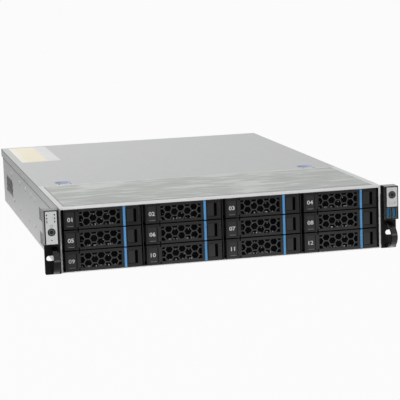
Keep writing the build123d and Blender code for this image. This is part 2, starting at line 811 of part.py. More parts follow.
def module_places():
    places = []
    for centre in cpu_centres:
        for side in (-1, 1):
            for n in range(modules_per_bank):
                gap = sink_width / 2 + module_socket_width / 2
                places.append(centre + side * (gap + n * module_pitch))
    return places


def memory_modules():
    low = board_top + module_socket_height - module_slot_depth + seat_gap
    return [block(x - module_gauge / 2, x + module_gauge / 2, cpu_y - module_length / 2,
                  cpu_y + module_length / 2, low, low + module_height) for x in module_places()]


def heat_sinks():
    sinks = []
    for centre in cpu_centres:
        low = board_top + socket_height + seat_gap
        left = centre - sink_width / 2 + module_gauge
        width = sink_width - 2 * module_gauge
        sink = block(left, left + width, cpu_y - sink_length / 2, cpu_y + sink_length / 2,
                     low, low + sink_base)
        for n in range(fin_count):
            x = left + n * (width - fin_gauge) / (fin_count - 1)
            sink += block(x, x + fin_gauge, cpu_y - sink_length / 2, cpu_y + sink_length / 2,
                          low + sink_base, sink_top)
        sinks.append(sink)
    return sinks


# The brackets close the slot windows from inside
def rear_blanking_plates():
    back = rear_inner_y - seat_gap
    low, high = slot_window_bottom - bracket_lap, slot_window_top + bracket_lap
    plates = []
    for x in slot_centres:
        bracket = block(x - bracket_width / 2, x + bracket_width / 2, back - bracket_gauge, back,
                        low, high)
        bracket += block(x - bracket_width / 2, x + bracket_width / 2, back - bracket_tab, back,
                         high - bracket_gauge, high)
        plates.append(bracket)
    return plates


# The plate comes with the board and closes the ports' window round each port
def port_plate():
    back = rear_inner_y - seat_gap
    lap = port_plate_lap
    plate = block(port_left - lap, port_left + port_plate_width + lap, back - port_plate_gauge, back,
                  port_plate_level - lap, port_top + lap)
    low, high = back - cut_overrun, back + cut_overrun
    sizes = [(inset, jack_width, jack_height) for inset in jack_insets]
    sizes.append((stack_inset, stack_width, stack_height))
    for inset, width, height in sizes:
        x = port_left + inset
        plate -= block(x - port_gap, x + width + port_gap, low, high,
                       port_floor - port_gap, port_floor + height + port_gap)
    for inset in video_insets:
        x = port_left + inset + video_width / 2
        z = port_floor + video_height / 2
        plate -= block(x - video_shell_width / 2 - port_gap, x + video_shell_width / 2 + port_gap,
                       low, high, z - video_shell_height / 2 - port_gap,
                       z + video_shell_height / 2 + port_gap)
    return plate


def power_supply(level):
    right, top = supply_left + supply_width, level + supply_height
    body = block(supply_left, right, supply_front_y, tray_rear_y, level, top)
    body = chamfer(body.edges().filter_by(Axis.Y), supply_corner)
    fan_x, middle = supply_left + supply_fan_inset, level + supply_height / 2
    body -= rod_y(supply_fan_radius, tray_rear_y - supply_fan_recess, tray_rear_y + cut_overrun,
                  fan_x, middle)
    guard_y = tray_rear_y - guard_ring_width
    radius = supply_fan_radius * guard_ring_share
    ring = rod_y(radius + guard_ring_width / 2, guard_y, tray_rear_y, fan_x, middle)
    body += ring - rod_y(radius - guard_ring_width / 2, guard_y - cut_overrun,
                         tray_rear_y + cut_overrun, fan_x, middle)
    for angle in guard_bar_angles:
        bar = block(-supply_fan_radius - guard_ring_width / 2, supply_fan_radius + guard_ring_width / 2,
                    guard_y, tray_rear_y, -guard_ring_width / 2, guard_ring_width / 2)
        body += Pos(fan_x, 0, middle) * Rot(0, angle, 0) * bar
    body += rod_y(supply_fan_radius * guard_hub_share, tray_rear_y - supply_fan_recess,
                  tray_rear_y, fan_x, middle)
    body -= inlet_hollow(middle)
    body += inlet_pins(middle)
    body -= latch_pocket(middle)
    return body + supply_loop(middle)


def inlet_hollow(middle):
    outline = Rectangle(inlet_width, inlet_height)
    cut = outline.vertices().sort_by(Axis.X)[-2:]
    outline = chamfer(cut, inlet_corner_chamfer)
    face = Plane((supply_left + inlet_inset, tray_rear_y - inlet_recess, middle), (-1, 0, 0), (0, 1, 0))
    return extrude(face * outline, inlet_recess + cut_overrun)


def inlet_pins(middle):
    low = tray_rear_y - inlet_recess
    x = supply_left + inlet_inset
    pins = []
    for share_x, share_z in inlet_pin_shares:
        px, pz = x + inlet_width * share_x, middle + inlet_pin_spread * share_z
        pins.append(block(px - inlet_pin_height / 2, px + inlet_pin_height / 2, low,
                          low + inlet_pin_length, pz - inlet_pin_width / 2, pz + inlet_pin_width / 2))
    return pins


def supply_loop(middle):
    left = supply_left + loop_inset
    outer = block(left, left + loop_width, tray_rear_y, tray_rear_y + loop_reach,
                  middle - loop_height / 2, middle + loop_height / 2)
    rounded = outer.faces().sort_by(Axis.Y)[-1].edges().filter_by(Axis.X)
    outer = fillet(rounded, 2 * loop_bar)
    inner = block(left - cut_overrun, left + loop_width + cut_overrun, tray_rear_y,
                  tray_rear_y + loop_reach - loop_bar,
                  middle - loop_height / 2 + loop_bar, middle + loop_height / 2 - loop_bar)
    rounded = inner.faces().sort_by(Axis.Y)[-1].edges().filter_by(Axis.X)
    return outer - fillet(rounded, loop_bar)


# A slot in the supply's rear face, with a pin hole above and below it
def latch_pocket(middle):
    x, y = latch_axis()
    tall = latch_height / 2 + ride_gap
    pocket = block(x - latch_pocket_width / 2, x + latch_pocket_width / 2,
                   tray_rear_y - latch_pocket_depth, tray_rear_y + cut_overrun,
                   middle - tall, middle + tall)
    reach = latch_height / 2 + latch_pin_length + ride_gap
    return pocket + rod_z(latch_pin_radius + latch_pin_gap, middle - reach, middle + reach, x, y)


def latch_axis():
    return supply_left + latch_inset, tray_rear_y - latch_hinge_depth


def supply_latch(level):
    middle = level + supply_height / 2
    x, y = latch_axis()
    tall = latch_height / 2
    tab = block(x - latch_gauge / 2, x + latch_gauge / 2, y, tray_rear_y + latch_reach,
                middle - tall, middle + tall)
    rounded = tab.faces().sort_by(Axis.Y)[-1].edges().filter_by(Axis.X)
    tab = fillet(rounded, latch_height / 4)
    tab += rod_z(latch_knuckle_radius, middle - tall, middle + tall, x, y)
    pin = tall + latch_pin_length
    return tab + rod_z(latch_pin_radius, middle - pin, middle + pin, x, y)


# Steel bracket, moulded control module and pull loop of one ear
def rack_ear(side):
    near = body_width / 2 + ear_side_gap
    face = front_y - ear_gauge
    leg_top = body_height - ear_leg_headroom
    bracket = side_block(side, near, module_outer, face, front_y, 0, module_bottom)
    corner = bracket.edges().filter_by(Axis.Y).filter_by(lambda e: abs(e.center().X) > near + ear_gauge)
    bracket = fillet(corner.sort_by(Axis.Z)[0], ear_corner)
    bracket += side_block(side, near, module_outer, face, front_y, module_bottom - cut_overrun,
                          module_top)
    bracket += side_block(side, near, near + ear_leg_gauge, face, front_y + hem_depth + cover_gap,
                          ear_leg_bottom, leg_top)
    bracket += side_block(side, tray_half + seat_gap, near + ear_leg_gauge,
                          front_y + hem_depth + cover_gap, front_y + ear_leg_depth,
                          ear_leg_bottom, leg_top)
    bracket -= rack_slot(side)
    module = control_module(side)
    bracket -= side_block(side, module_inner - seat_gap, module_outer + cut_overrun,
                          face - cut_overrun, front_y + cut_overrun,
                          module_bottom - seat_gap, module_top + cut_overrun)
    return [bracket, module, pull_loop(side)]


def rack_slot(side):
    slot = Pos(side * rack_slot_x, front_y + cut_overrun, rack_slot_level)
    outline = SlotOverall(rack_slot_length, rack_slot_height)
    plane = Plane((0, 0, 0), (1, 0, 0), (0, -1, 0))
    return slot * extrude(plane * outline, ear_gauge + 2 * cut_overrun)


# Half an elliptical ring that stands on the bracket's face
def pull_loop(side):
    face = front_y - ear_gauge
    radius_z = (pull_top - pull_bottom) / 2
    radius_y = pull_reach - ear_gauge
    ring = Ellipse(radius_y, radius_z) - Ellipse(radius_y - pull_bar, radius_z - pull_bar)
    ring &= Pos(-radius_y / 2, 0) * Rectangle(radius_y, 2 * radius_z)
    start = min(side * pull_inner, side * (pull_inner + pull_width))
    plane = Plane((start, face - seat_gap, pull_centre_z), (0, 1, 0), (1, 0, 0))
    return extrude(plane * ring, pull_width)


def control_module(side):
    near, far = module_inner, module_outer
    module = side_block(side, near, far, front_y - module_reach, front_y + module_back,
                        module_bottom, module_top)
    rim = module.faces().sort_by(Axis.Y)[0].edges()
    module = chamfer(rim, module_edge)
    for setback in groove_setbacks:
        y = front_y - module_reach + setback
        module -= side_block(side, near - cut_overrun, near + groove_depth, y, y + groove_width,
                             module_bottom + module_edge, module_top - 2 * module_edge)
    low = plate_bottom(side)
    module -= side_block(side, near + plate_inner_margin, far - plate_side_margin,
                         front_y - module_reach - cut_overrun,
                         front_y - module_reach + plate_gauge + seat_gap,
                         low, module_top - plate_top_margin)
    level = key_level(side)
    face = front_y - module_reach
    bore_end = face + plate_gauge + key_length + key_travel + ride_gap
    module -= rod_y(key_radius + key_gap, face - cut_overrun, bore_end, side * key_offset, level)
    if side > 0:
        for x in usb_offsets:
            module -= block(x - usb_shell_width / 2 - usb_gap, x + usb_shell_width / 2 + usb_gap,
                            face - cut_overrun, face + usb_depth + usb_gap,
                            usb_level - usb_shell_height / 2 - usb_gap,
                            usb_level + usb_shell_height / 2 + usb_gap)
    return module


def plate_bottom(side):
    return module_top - (plate_drop_right if side > 0 else plate_drop_left)


def key_level(side):
    return module_top - (locator_key_drop if side > 0 else power_key_drop)


# Silver face plates, with holes for the keys and the reset pin
def control_plates():
    plates = []
    face = front_y - module_reach
    for side in (-1, 1):
        gap = seat_gap
        plate = side_block(side, module_inner + plate_inner_margin + gap,
                           module_outer - plate_side_margin - gap, face, face + plate_gauge,
                           plate_bottom(side) + gap, module_top - plate_top_margin - gap)
        plate = fillet(plate.edges().filter_by(Axis.Y), plate_corner)
        holes = [(key_radius + key_gap, key_offset, key_level(side))]
        if side < 0:
            holes.append((pinhole_radius, key_offset, module_top - pinhole_drop))
        for radius, x, z in holes:
            plate -= rod_y(radius, face - cut_overrun, face + plate_gauge + cut_overrun, side * x, z)
        plates.append(plate)
    return plates


# A round key with a rim, a groove and a dished middle, turned about its own axis
def round_key(side):
    start = front_y - module_reach - ride_gap
    x, z = side * key_offset, key_level(side)
    key = rod_y(key_radius, start, start + key_length, x, z)
    groove = rod_y(key_radius - key_rim, start - cut_overrun, start + key_groove, x, z)
    groove -= rod_y(key_radius - key_rim - key_groove, start - 2 * cut_overrun,
                    start + 2 * cut_overrun, x, z)
    key -= groove
    return key - rod_y(key_dish_radius, start - cut_overrun, start + key_dish_depth, x, z)


# Two upright sockets, each a metal shell round a tongue
def usb_ports():
    face = front_y - module_reach
    pieces = []
    for x in usb_offsets:
        half, tall = usb_shell_width / 2, usb_shell_height / 2
        shell = block(x - half, x + half, face, face + usb_depth, usb_level - tall, usb_level + tall)
        shell -= block(x - half + usb_shell_gauge, x + half - usb_shell_gauge, face - cut_overrun,
                       face + usb_depth - usb_shell_gauge, usb_level - tall + usb_shell_gauge,
                       usb_level + tall - usb_shell_gauge)
        back = face + usb_depth - usb_shell_gauge
        left = x - half + usb_shell_gauge + usb_gap
        tongue = block(left, left + usb_tongue_gauge, back - usb_tongue_depth, back,
                       usb_level - usb_tongue_height / 2, usb_level + usb_tongue_height / 2)
        pieces += [shell, tongue]
    return pieces


def save(shape, node):
    if isinstance(shape, list):
        shape = Compound(children=shape)
    export_step(shape, "parts/" + node + ".step")


os.makedirs("parts", exist_ok=True)
save(chassis_tray(), "chassis_tray")
save(front_cover(), "front_cover")
save(rear_cover(), "rear_cover")
save(drive_cage(), "drive_cage")
save(drive_backplane(), "drive_backplane")
save(fan_frames(), "fan_frames")
for number, x in enumerate(fan_centres(), 1):
    save(fan_rotor(x), "fan_rotor_" + str(number))
save(motherboard(), "motherboard")
save(heat_sinks(), "heat_sinks")
save(memory_modules(), "memory_modules")
save(rear_blanking_plates(), "rear_blanking_plates")
for number, level in enumerate(supply_levels, 1):
    save(power_supply(level), "power_supply_" + str(number))
    save(supply_latch(level), "supply_latch_" + str(number))
save(rack_ear(-1), "left_ear")
save(rack_ear(1), "right_ear")
save(control_plates(), "control_plates")
save(round_key(-1), "power_button")
save(round_key(1), "locator_button")
save(usb_ports(), "usb_ports")

# The twelve bays are numbered from the top left, row by row
frame_shape, drive_shape = carrier_frame(), drive()
lever_shape, button_shape = lever(), release_button()
for row in range(row_count):
    for column in range(column_count):
        x, z = bay_centre(column, row_count - 1 - row)
        place = Pos(x, bezel_y, z)
        label = "_%02d" % (row * column_count + column + 1)
        save([place * frame_shape, place * drive_shape], "carrier" + label)
        save(place * lever_shape, "lever" + label)
        save(place * button_shape, "release_button" + label)
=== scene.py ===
import math
import bmesh
import bpy
from mathutils import Matrix, Vector


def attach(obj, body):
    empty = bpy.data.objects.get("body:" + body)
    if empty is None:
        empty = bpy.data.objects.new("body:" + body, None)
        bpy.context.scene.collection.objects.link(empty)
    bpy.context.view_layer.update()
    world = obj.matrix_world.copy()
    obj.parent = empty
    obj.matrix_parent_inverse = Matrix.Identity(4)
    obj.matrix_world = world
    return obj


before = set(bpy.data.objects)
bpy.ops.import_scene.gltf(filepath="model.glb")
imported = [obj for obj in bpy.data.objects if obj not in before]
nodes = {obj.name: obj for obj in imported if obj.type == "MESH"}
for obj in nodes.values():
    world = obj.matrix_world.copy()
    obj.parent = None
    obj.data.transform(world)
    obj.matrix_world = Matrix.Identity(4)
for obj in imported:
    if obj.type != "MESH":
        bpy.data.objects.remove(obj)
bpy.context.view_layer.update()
mm = 0.001          # the scene is in metres, the values here are in millimetres
print("frame loaded,", len(nodes), "nodes")


# An sRGB hex colour as the linear values that shaders take, by the sRGB standard's own curve
def linear(hexColour):
    values = [int(hexColour[i:i + 2], 16) / 255 for i in (1, 3, 5)]
    return [v / 12.92 if v <= 0.04045 else ((v + 0.055) / 1.055) ** 2.4 for v in values] + [1.0]


# A node with its settings (inputs, a ramp's stops or properties) and the outputs that feed its inputs
def addNode(tree, kind, settings=None, links=None):
    node = tree.nodes.new(kind)
    for key, value in (settings or {}).items():
        if key == "stops":
            for n, (position, hexColour) in enumerate(value):
                stop = node.color_ramp.elements[n] if n < 2 else node.color_ramp.elements.new(position)
                stop.position, stop.color = position, linear(hexColour)
        elif isinstance(key, int) or key in node.inputs:
            node.inputs[key].default_value = value
        else:
            setattr(node, key, value)
    for key, source in (links or {}).items():
        tree.links.new(source, node.inputs[key])
    return node


def newMaterial(name):
    material = bpy.data.materials.new(name)
    material.use_nodes = True
    tree = material.node_tree
    shader = tree.nodes["Principled BSDF"]
    place = addNode(tree, "ShaderNodeTexCoord").outputs["Object"]
    return material, tree, shader, place


def feedShader(tree, shader, sources):
    for socket, source in sources.items():
        tree.links.new(source, shader.inputs[socket])


# What all the metals share: how far the grains move the roughness, and the rolling marks' depth
sheetFinish = {"streakDetail": 3.0, "smoother": 0.02, "rougher": 0.03, "bump": 0.05, "markDeepMm": 0.02}


# Rolled, plated or cast metal: fine streaks over soft grains
def metalSheet(name, look):
    material, tree, shader, place = newMaterial(name)
    stretched = addNode(tree, "ShaderNodeMapping", {"Scale": [1 / (size * mm) for size in look["streakMm"]]},
                        {"Vector": place})
    streaks = addNode(tree, "ShaderNodeTexNoise", {"Scale": 1.0, "Detail": sheetFinish["streakDetail"]},
                      {"Vector": stretched.outputs[0]})
    grains = addNode(tree, "ShaderNodeTexVoronoi", {"Scale": 1 / (look["grainMm"] * mm)}, {"Vector": place})
    grey = addNode(tree, "ShaderNodeSeparateColor", links={"Color": grains.outputs["Color"]})
    mixed = addNode(tree, "ShaderNodeMath", {"operation": "MULTIPLY_ADD", 1: look["grainShare"]},
                    {0: grey.outputs[0], 2: streaks.outputs[0]})
    ramp = addNode(tree, "ShaderNodeValToRGB", {"stops": look["stops"]}, {"Fac": mixed.outputs[0]})
    rough = addNode(tree, "ShaderNodeMapRange", {"To Min": look["roughness"] - sheetFinish["smoother"],
                    "To Max": look["roughness"] + sheetFinish["rougher"]}, {"Value": grey.outputs[0]})
    bump = addNode(tree, "ShaderNodeBump", {"Strength": sheetFinish["bump"],
                   "Distance": sheetFinish["markDeepMm"] * mm}, {"Height": streaks.outputs[0]})
    shader.inputs["Metallic"].default_value = look["metallic"]
    feedShader(tree, shader, {"Base Color": ramp.outputs[0], "Roughness": rough.outputs[0],
                              "Normal": bump.outputs[0]})
    return material


# What all the coats share: how slowly the colour drifts, and the grain's depth and share of the roughness
coatFinish = {"detail": 2.0, "driftMm": 30.0, "driftStops": (0.3, 0.7), "smoother": 0.05, "rougher": 0.07,
              "grainDeepMm": 0.05}


# Moulded, painted or printed surface: a fine grain in bump and roughness, a slow drift of the colour
def grainedCoat(name, look):
    material, tree, shader, place = newMaterial(name)
    grain = addNode(tree, "ShaderNodeTexNoise", {"Scale": 1 / (look["grainMm"] * mm),
                    "Detail": coatFinish["detail"]}, {"Vector": place})
    driftMm = look.get("driftMm", coatFinish["driftMm"])
    drift = addNode(tree, "ShaderNodeTexNoise", {"Scale": 1 / (driftMm * mm), "Detail": coatFinish["detail"]},
                    {"Vector": place})
    stops = zip(coatFinish["driftStops"], (look["dark"], look["light"]))
    ramp = addNode(tree, "ShaderNodeValToRGB", {"stops": stops}, {"Fac": drift.outputs[0]})
    rough = addNode(tree, "ShaderNodeMapRange", {"To Min": look["roughness"] - coatFinish["smoother"],
                    "To Max": look["roughness"] + coatFinish["rougher"]}, {"Value": grain.outputs[0]})
    bump = addNode(tree, "ShaderNodeBump", {"Strength": look["grain"],
                   "Distance": coatFinish["grainDeepMm"] * mm}, {"Height": grain.outputs[0]})
    for socket, value in look.get("sockets", {}).items():
        shader.inputs[socket].default_value = value
    feedShader(tree, shader, {"Base Color": ramp.outputs[0], "Roughness": rough.outputs[0],
                              "Normal": bump.outputs[0]})
    return material


# Metals: streak spacing across, along and up, and the width of the grains
sheetLooks = {
    # zinc-coated sheet steel, cover and tray: satin grey, streaks run front to back
    "galvanisedSteel": {"streakMm": (5.0, 240.0, 30.0), "grainMm": 5.0, "grainShare": 0.1, "metallic": 0.12,
                        "roughness": 0.42, "stops": ((0.2, "#BABBBB"), (0.9, "#BEBFBF"))},
    # the same zinc, newer: paler and shinier on the front cover's margins, the studs and the clips
    "brightSteel": {"streakMm": (5.0, 240.0, 30.0), "grainMm": 3.0, "grainShare": 0.1, "metallic": 0.2,
                    "roughness": 0.34, "stops": ((0.2, "#CBCCCC"), (0.9, "#D1D2D2"))},
    # painted highlight on the folded and cut front edges, where the bends catch light: a near-white line
    "frontEdgeHighlight": {"streakMm": (60.0, 2.0, 60.0), "grainMm": 2.0, "grainShare": 0.05, "metallic": 0.1,
                "roughness": 0.3, "stops": ((0.2, "#F0F0F0"), (0.9, "#F6F6F6"))},
    # painted shade on the inner faces of the punched vents: dark grey and rough
    "ventShade": {"streakMm": (1.0, 1.0, 8.0), "grainMm": 1.0, "grainShare": 0.1, "metallic": 0.3,
                    "roughness": 0.6, "stops": ((0.2, "#2E2F30"), (0.9, "#3C3D3E"))},
    # thinner plated sheet of the supply cases: cooler, streaks run across
    "supplySheet": {"streakMm": (60.0, 4.0, 4.0), "grainMm": 4.0, "grainShare": 0.1, "metallic": 0.6,
                    "roughness": 0.36, "stops": ((0.3, "#A9ABAC"), (0.8, "#BCBEBF"))},
    # sandblasted and anodised aluminium: an even pale silver with a fine sparkle
    "anodisedPlate": {"streakMm": (0.6, 12.0, 12.0), "grainMm": 0.5, "grainShare": 0.2, "metallic": 0.2,
                      "roughness": 0.42, "stops": ((0.3, "#D6D7D7"), (0.9, "#E0E1E1"))},
    # die-cast drive bodies and port shells: a darker mottled grey
    "castAluminium": {"streakMm": (2.0, 2.0, 2.0), "grainMm": 1.2, "grainShare": 0.3, "metallic": 0.7,
                      "roughness": 0.5, "stops": ((0.3, "#77797B"), (0.9, "#9A9C9E"))},
    # extruded fins of the heat sinks: clean, with streaks along the draw
    "extrudedAluminium": {"streakMm": (40.0, 40.0, 1.5), "grainMm": 1.0, "grainShare": 0.1, "metallic": 0.85,
                          "roughness": 0.35, "stops": ((0.3, "#B4B6B8"), (0.9, "#CCCED0"))},
    # nickel on ports, pins and rear screws: smooth and bright
    "nickelPlate": {"streakMm": (40.0, 12.0, 40.0), "grainMm": 2.0, "grainShare": 0.03, "metallic": 0.7,
                    "roughness": 0.3, "stops": ((0.3, "#BEC0C2"), (0.9, "#CCCED0"))},
}
# Coats: a mould's or a spray's real grain is 0.1 to 0.2 mm, and is drawn coarser here, so that it shows
coatLooks = {
    # black polycarbonate blend from a spark-eroded mould: a soft sheen, never a mirror
    "bezelPlastic": {"dark": "#0E0E0D", "light": "#131211", "grainMm": 0.5, "grain": 0.25, "roughness": 0.32,
                     "sockets": {"Specular IOR Level": 0.45}},
    "leverPlastic": {"dark": "#1E1E1D", "light": "#222221", "grainMm": 0.5, "grain": 0.2, "roughness": 0.32,
                     "sockets": {"Specular IOR Level": 0.45}},
    "buttonPlastic": {"dark": "#202020", "light": "#252525", "grainMm": 0.5, "grain": 0.2, "roughness": 0.32,
                      "sockets": {"Specular IOR Level": 0.45}},
    "numberPad": {"dark": "#1F201F", "light": "#242524", "grainMm": 0.5, "grain": 0.2, "roughness": 0.4,
                  "sockets": {"Specular IOR Level": 0.45}},
    # painted highlight: the same plastic, lighter, on the honeycombs' narrow bars, where rounded edges catch
    # light
    "grilleBarHighlight": {"dark": "#38393A", "light": "#404142", "grainMm": 0.5, "grain": 0.15,
                      "roughness": 0.35},
    # painted shade in the finger pocket beside each button: its floor and walls matt, and nearly black
    "pocketShade": {"dark": "#030303", "light": "#050505", "grainMm": 0.6, "grain": 0.2, "roughness": 0.7,
                   "sockets": {"Specular IOR Level": 0.05}},
    # painted shade on the drive's front end, which lies in shade behind the honeycomb: dark and matt
    "driveEndShade": {"dark": "#0C0C0C", "light": "#101010", "grainMm": 0.6, "grain": 0.3, "roughness": 0.6,
                    "sockets": {"Specular IOR Level": 0.1}},
    # painted glints behind the honeycomb: small pale points
    "paintedGlint": {"dark": "#B4B6B7", "light": "#C6C8C9", "grainMm": 0.6, "grain": 0.05, "roughness": 0.3},
    # blue acetal: waxy and saturated, light sinks in a little
    "blueAcetal": {"dark": "#5298D2", "light": "#60A6E0", "grainMm": 0.8, "grain": 0.1, "roughness": 0.3,
                   "sockets": {"Subsurface Weight": 0.1, "Subsurface Scale": 0.002}},
    # pad-printed ink: flat and pale
    "printedNumber": {"dark": "#CDCECF", "light": "#D8D9DA", "grainMm": 0.3, "grain": 0.1,
                      "roughness": 0.55},
    # unlit acrylic light pipes and smoked lamp lenses: grey, with a sharp highlight
    "lightPipe": {"dark": "#3E4042", "light": "#484A4C", "grainMm": 0.6, "grain": 0.1, "roughness": 0.2},
    "darkLens": {"dark": "#1B1C1E", "light": "#26282A", "grainMm": 0.6, "grain": 0.05, "roughness": 0.12},
    # powder coat on the drive cage: black, with a fine orange peel
    "blackPowderCoat": {"dark": "#1B1C1D", "light": "#222324", "grainMm": 0.4, "grain": 0.4,
                        "roughness": 0.5},
    # sprayed paint on the ear brackets: black and nearly matt
    "earPaint": {"dark": "#0A0A0B", "light": "#0E0E0F", "grainMm": 0.4, "grain": 0.3, "roughness": 0.4,
                 "sockets": {"Specular IOR Level": 0.2}},
    # the ears' housings and pull loops come from polished moulds: clear highlights on black
    "modulePlastic": {"dark": "#151617", "light": "#1B1C1D", "grainMm": 0.5, "grain": 0.1, "roughness": 0.22},
    "glossyLoop": {"dark": "#060607", "light": "#0A0A0B", "grainMm": 1.0, "grain": 0.03, "roughness": 0.2,
                   "sockets": {"Specular IOR Level": 0.4}},
    # silicone rubber keys: black with a soft sheen
    "keyRubber": {"dark": "#131415", "light": "#191A1B", "grainMm": 0.5, "grain": 0.15, "roughness": 0.32},
    # blue nylon tongues in the ports: dull, and darker than the strips
    "portBlue": {"dark": "#0A608A", "light": "#106F9E", "grainMm": 0.5, "grain": 0.1, "roughness": 0.35},
    # grey nylon ring round each key: a pale line
    "keyRing": {"dark": "#6C6E70", "light": "#7A7C7E", "grainMm": 0.5, "grain": 0.1, "roughness": 0.3},
    # glass-filled nylon of sockets, plugs and inlets: matt black
    "portBlack": {"dark": "#101112", "light": "#161718", "grainMm": 0.5, "grain": 0.2, "roughness": 0.5},
    # glass-filled polyester of fan frames and blades: black, a little duller than the bezels
    "fanPlastic": {"dark": "#18191A", "light": "#1F2021", "grainMm": 0.6, "grain": 0.2, "roughness": 0.42},
    # dark ink on the plates: flat; the same dark paints the shade in the notches on the rear cover
    "darkInkAndNotchShade": {"dark": "#2C2D2E", "light": "#343536", "grainMm": 0.3, "grain": 0.05, "roughness": 0.6},
    # green nylon of the latches and the supplies' lamps: bright against the sheet
    "latchGreen": {"dark": "#1E8A4A", "light": "#27A05A", "grainMm": 0.5, "grain": 0.15, "roughness": 0.4},
    # painted finger cups: bluish walls round a paler floor
    "cupWall": {"dark": "#A2ABC8", "light": "#ABB4D0", "grainMm": 0.8, "grain": 0.1, "roughness": 0.4},
    "cupFloor": {"dark": "#CED2DE", "light": "#D6DAE4", "grainMm": 0.8, "grain": 0.1, "roughness": 0.35},
    # coated label paper: matt, its tint drifts slowly
    "creamLabel": {"dark": "#F0ECDF", "light": "#F4F0E5", "grainMm": 0.4, "grain": 0.1, "roughness": 0.55,
                   "driftMm": 60.0},
    "yellowLabel": {"dark": "#F0E7CE", "light": "#F4ECD6", "grainMm": 0.4, "grain": 0.1, "roughness": 0.55,
                    "driftMm": 60.0},
    "whiteLabel": {"dark": "#DCDCDC", "light": "#E5E5E5", "grainMm": 0.4, "grain": 0.1, "roughness": 0.5,
                   "driftMm": 60.0},
    # painted shade on the side walls' inner faces, in the gaps beside the bays: black, smooth and dull
    "innerWallShade": {"dark": "#0C0C0D", "light": "#101011", "grainMm": 0.6, "grain": 0.1, "roughness": 0.4,
                        "sockets": {"Specular IOR Level": 0.3}},
    # painted shade in the seams, under the clips and in the holes, and dull dark rivets: dark grey, takes no
    # shine
    "seamShadeAndRivets": {"dark": "#4B4C4D", "light": "#565758", "grainMm": 0.5, "grain": 0.3, "roughness": 0.6},
    # painted shade along the film's rim: a dull grey line
    "filmRimShade": {"dark": "#6E726E", "light": "#767A76", "grainMm": 0.6, "grain": 0.1, "roughness": 0.4},
    # painted shade on the bend of the covers' flanges: a darker grey line
    "foldShade": {"dark": "#7B7C7D", "light": "#858687", "grainMm": 0.5, "grain": 0.1, "roughness": 0.45},
    # grey ink of the small marks: flat, fainter than the dark ink; the same grey paints a highlight along
    # each number pad's lower ledge
    "greyInkAndLedgeHighlight": {"dark": "#7E8082", "light": "#86888A", "grainMm": 0.3, "grain": 0.05, "roughness": 0.6},
    # blackened steel screws: dark, with a metal glint
    "blackScrew": {"dark": "#1E1F20", "light": "#2A2B2C", "grainMm": 0.5, "grain": 0.1, "roughness": 0.35,
                   "sockets": {"Metallic": 0.5}},
}
materials = {name: metalSheet(name, look) for name, look in sheetLooks.items()}
materials.update({name: grainedCoat(name, look) for name, look in coatLooks.items()})
boardLook = {"trackMm": 18.0, "trackGap": 0.012, "mask": ("#0E5A35", "#12663D"), "track": "#2E8A58",
             "padMm": 6.0, "padReach": 0.13, "pad": "#B9BCB4", "roughness": 0.35}


# Glass-fibre board: glossy green solder mask with tinned pads, tracks drawn coarse enough to show
def circuitBoard(name, look):
    material, tree, shader, place = newMaterial(name)
    tracks = addNode(tree, "ShaderNodeTexBrick", {"Scale": 1 / (look["trackMm"] * mm),
                     "Mortar Size": look["trackGap"], "Color1": linear(look["mask"][0]),
                     "Color2": linear(look["mask"][1]), "Mortar": linear(look["track"])}, {"Vector": place})
    pads = addNode(tree, "ShaderNodeTexVoronoi", {"Scale": 1 / (look["padMm"] * mm)}, {"Vector": place})
    isPad = addNode(tree, "ShaderNodeMath", {"operation": "LESS_THAN", 1: look["padReach"]},
                    {0: pads.outputs["Distance"]})
    mixed = addNode(tree, "ShaderNodeMix", {"data_type": "RGBA", 7: linear(look["pad"])},
                    {0: isPad.outputs[0], 6: tracks.outputs[0]})
    shader.inputs["Roughness"].default_value = look["roughness"]
    feedShader(tree, shader, {"Base Color": mixed.outputs[2]})
    return material


filmLook = {"creaseTurn": 0.1, "creaseMm": (45.0, 13.0, 50.0), "creaseDetail": 3.0, "creaseBend": 0.5,
            "creaseDeepMm": 3.0, "patchMm": 95.0, "patchDetail": 1.0, "patchShare": 0.45, "bump": 1.0,
            "metallic": 0.2, "roughness": 0.36,
            "stops": ((0.4, "#9A9D9A"), (0.5, "#A4A7A4"), (0.54, "#AFB2AF"), (0.6, "#C0C4C0"))}


# Polyethylene film over the sheet: greenish grey, with pale creases gathered in patches across the cover; the
# creases bump the surface, and their paleness is painted sheen
def protectiveFilm(name, look):
    material, tree, shader, place = newMaterial(name)
    turned = addNode(tree, "ShaderNodeMapping", {"Rotation": (0, 0, look["creaseTurn"]),
                     "Scale": [1 / (size * mm) for size in look["creaseMm"]]}, {"Vector": place})
    creases = addNode(tree, "ShaderNodeTexNoise", {"Scale": 1.0, "Detail": look["creaseDetail"],
                      "Distortion": look["creaseBend"]}, {"Vector": turned.outputs[0]})
    patches = addNode(tree, "ShaderNodeTexNoise", {"Scale": 1 / (look["patchMm"] * mm),
                      "Detail": look["patchDetail"]}, {"Vector": place})
    mixed = addNode(tree, "ShaderNodeMath", {"operation": "MULTIPLY_ADD", 1: look["patchShare"]},
                    {0: patches.outputs[0], 2: creases.outputs[0]})
    mixed = addNode(tree, "ShaderNodeMath", {"operation": "DIVIDE", 1: 1 + look["patchShare"]},
                    {0: mixed.outputs[0]})
    ramp = addNode(tree, "ShaderNodeValToRGB", {"stops": look["stops"]}, {"Fac": mixed.outputs[0]})
    bump = addNode(tree, "ShaderNodeBump", {"Strength": look["bump"], "Distance": look["creaseDeepMm"] * mm},
                   {"Height": creases.outputs[0]})
    shader.inputs["Roughness"].default_value = look["roughness"]
    shader.inputs["Metallic"].default_value = look["metallic"]
    feedShader(tree, shader, {"Base Color": ramp.outputs[0], "Normal": bump.outputs[0]})
    return material


materials["circuitBoard"] = circuitBoard("circuitBoard", boardLook)
materials["protectiveFilm"] = protectiveFilm("protectiveFilm", filmLook)
print("materials made,", len(materials))

bays, fans, supplies = range(1, 13), range(1, 5), range(1, 3)
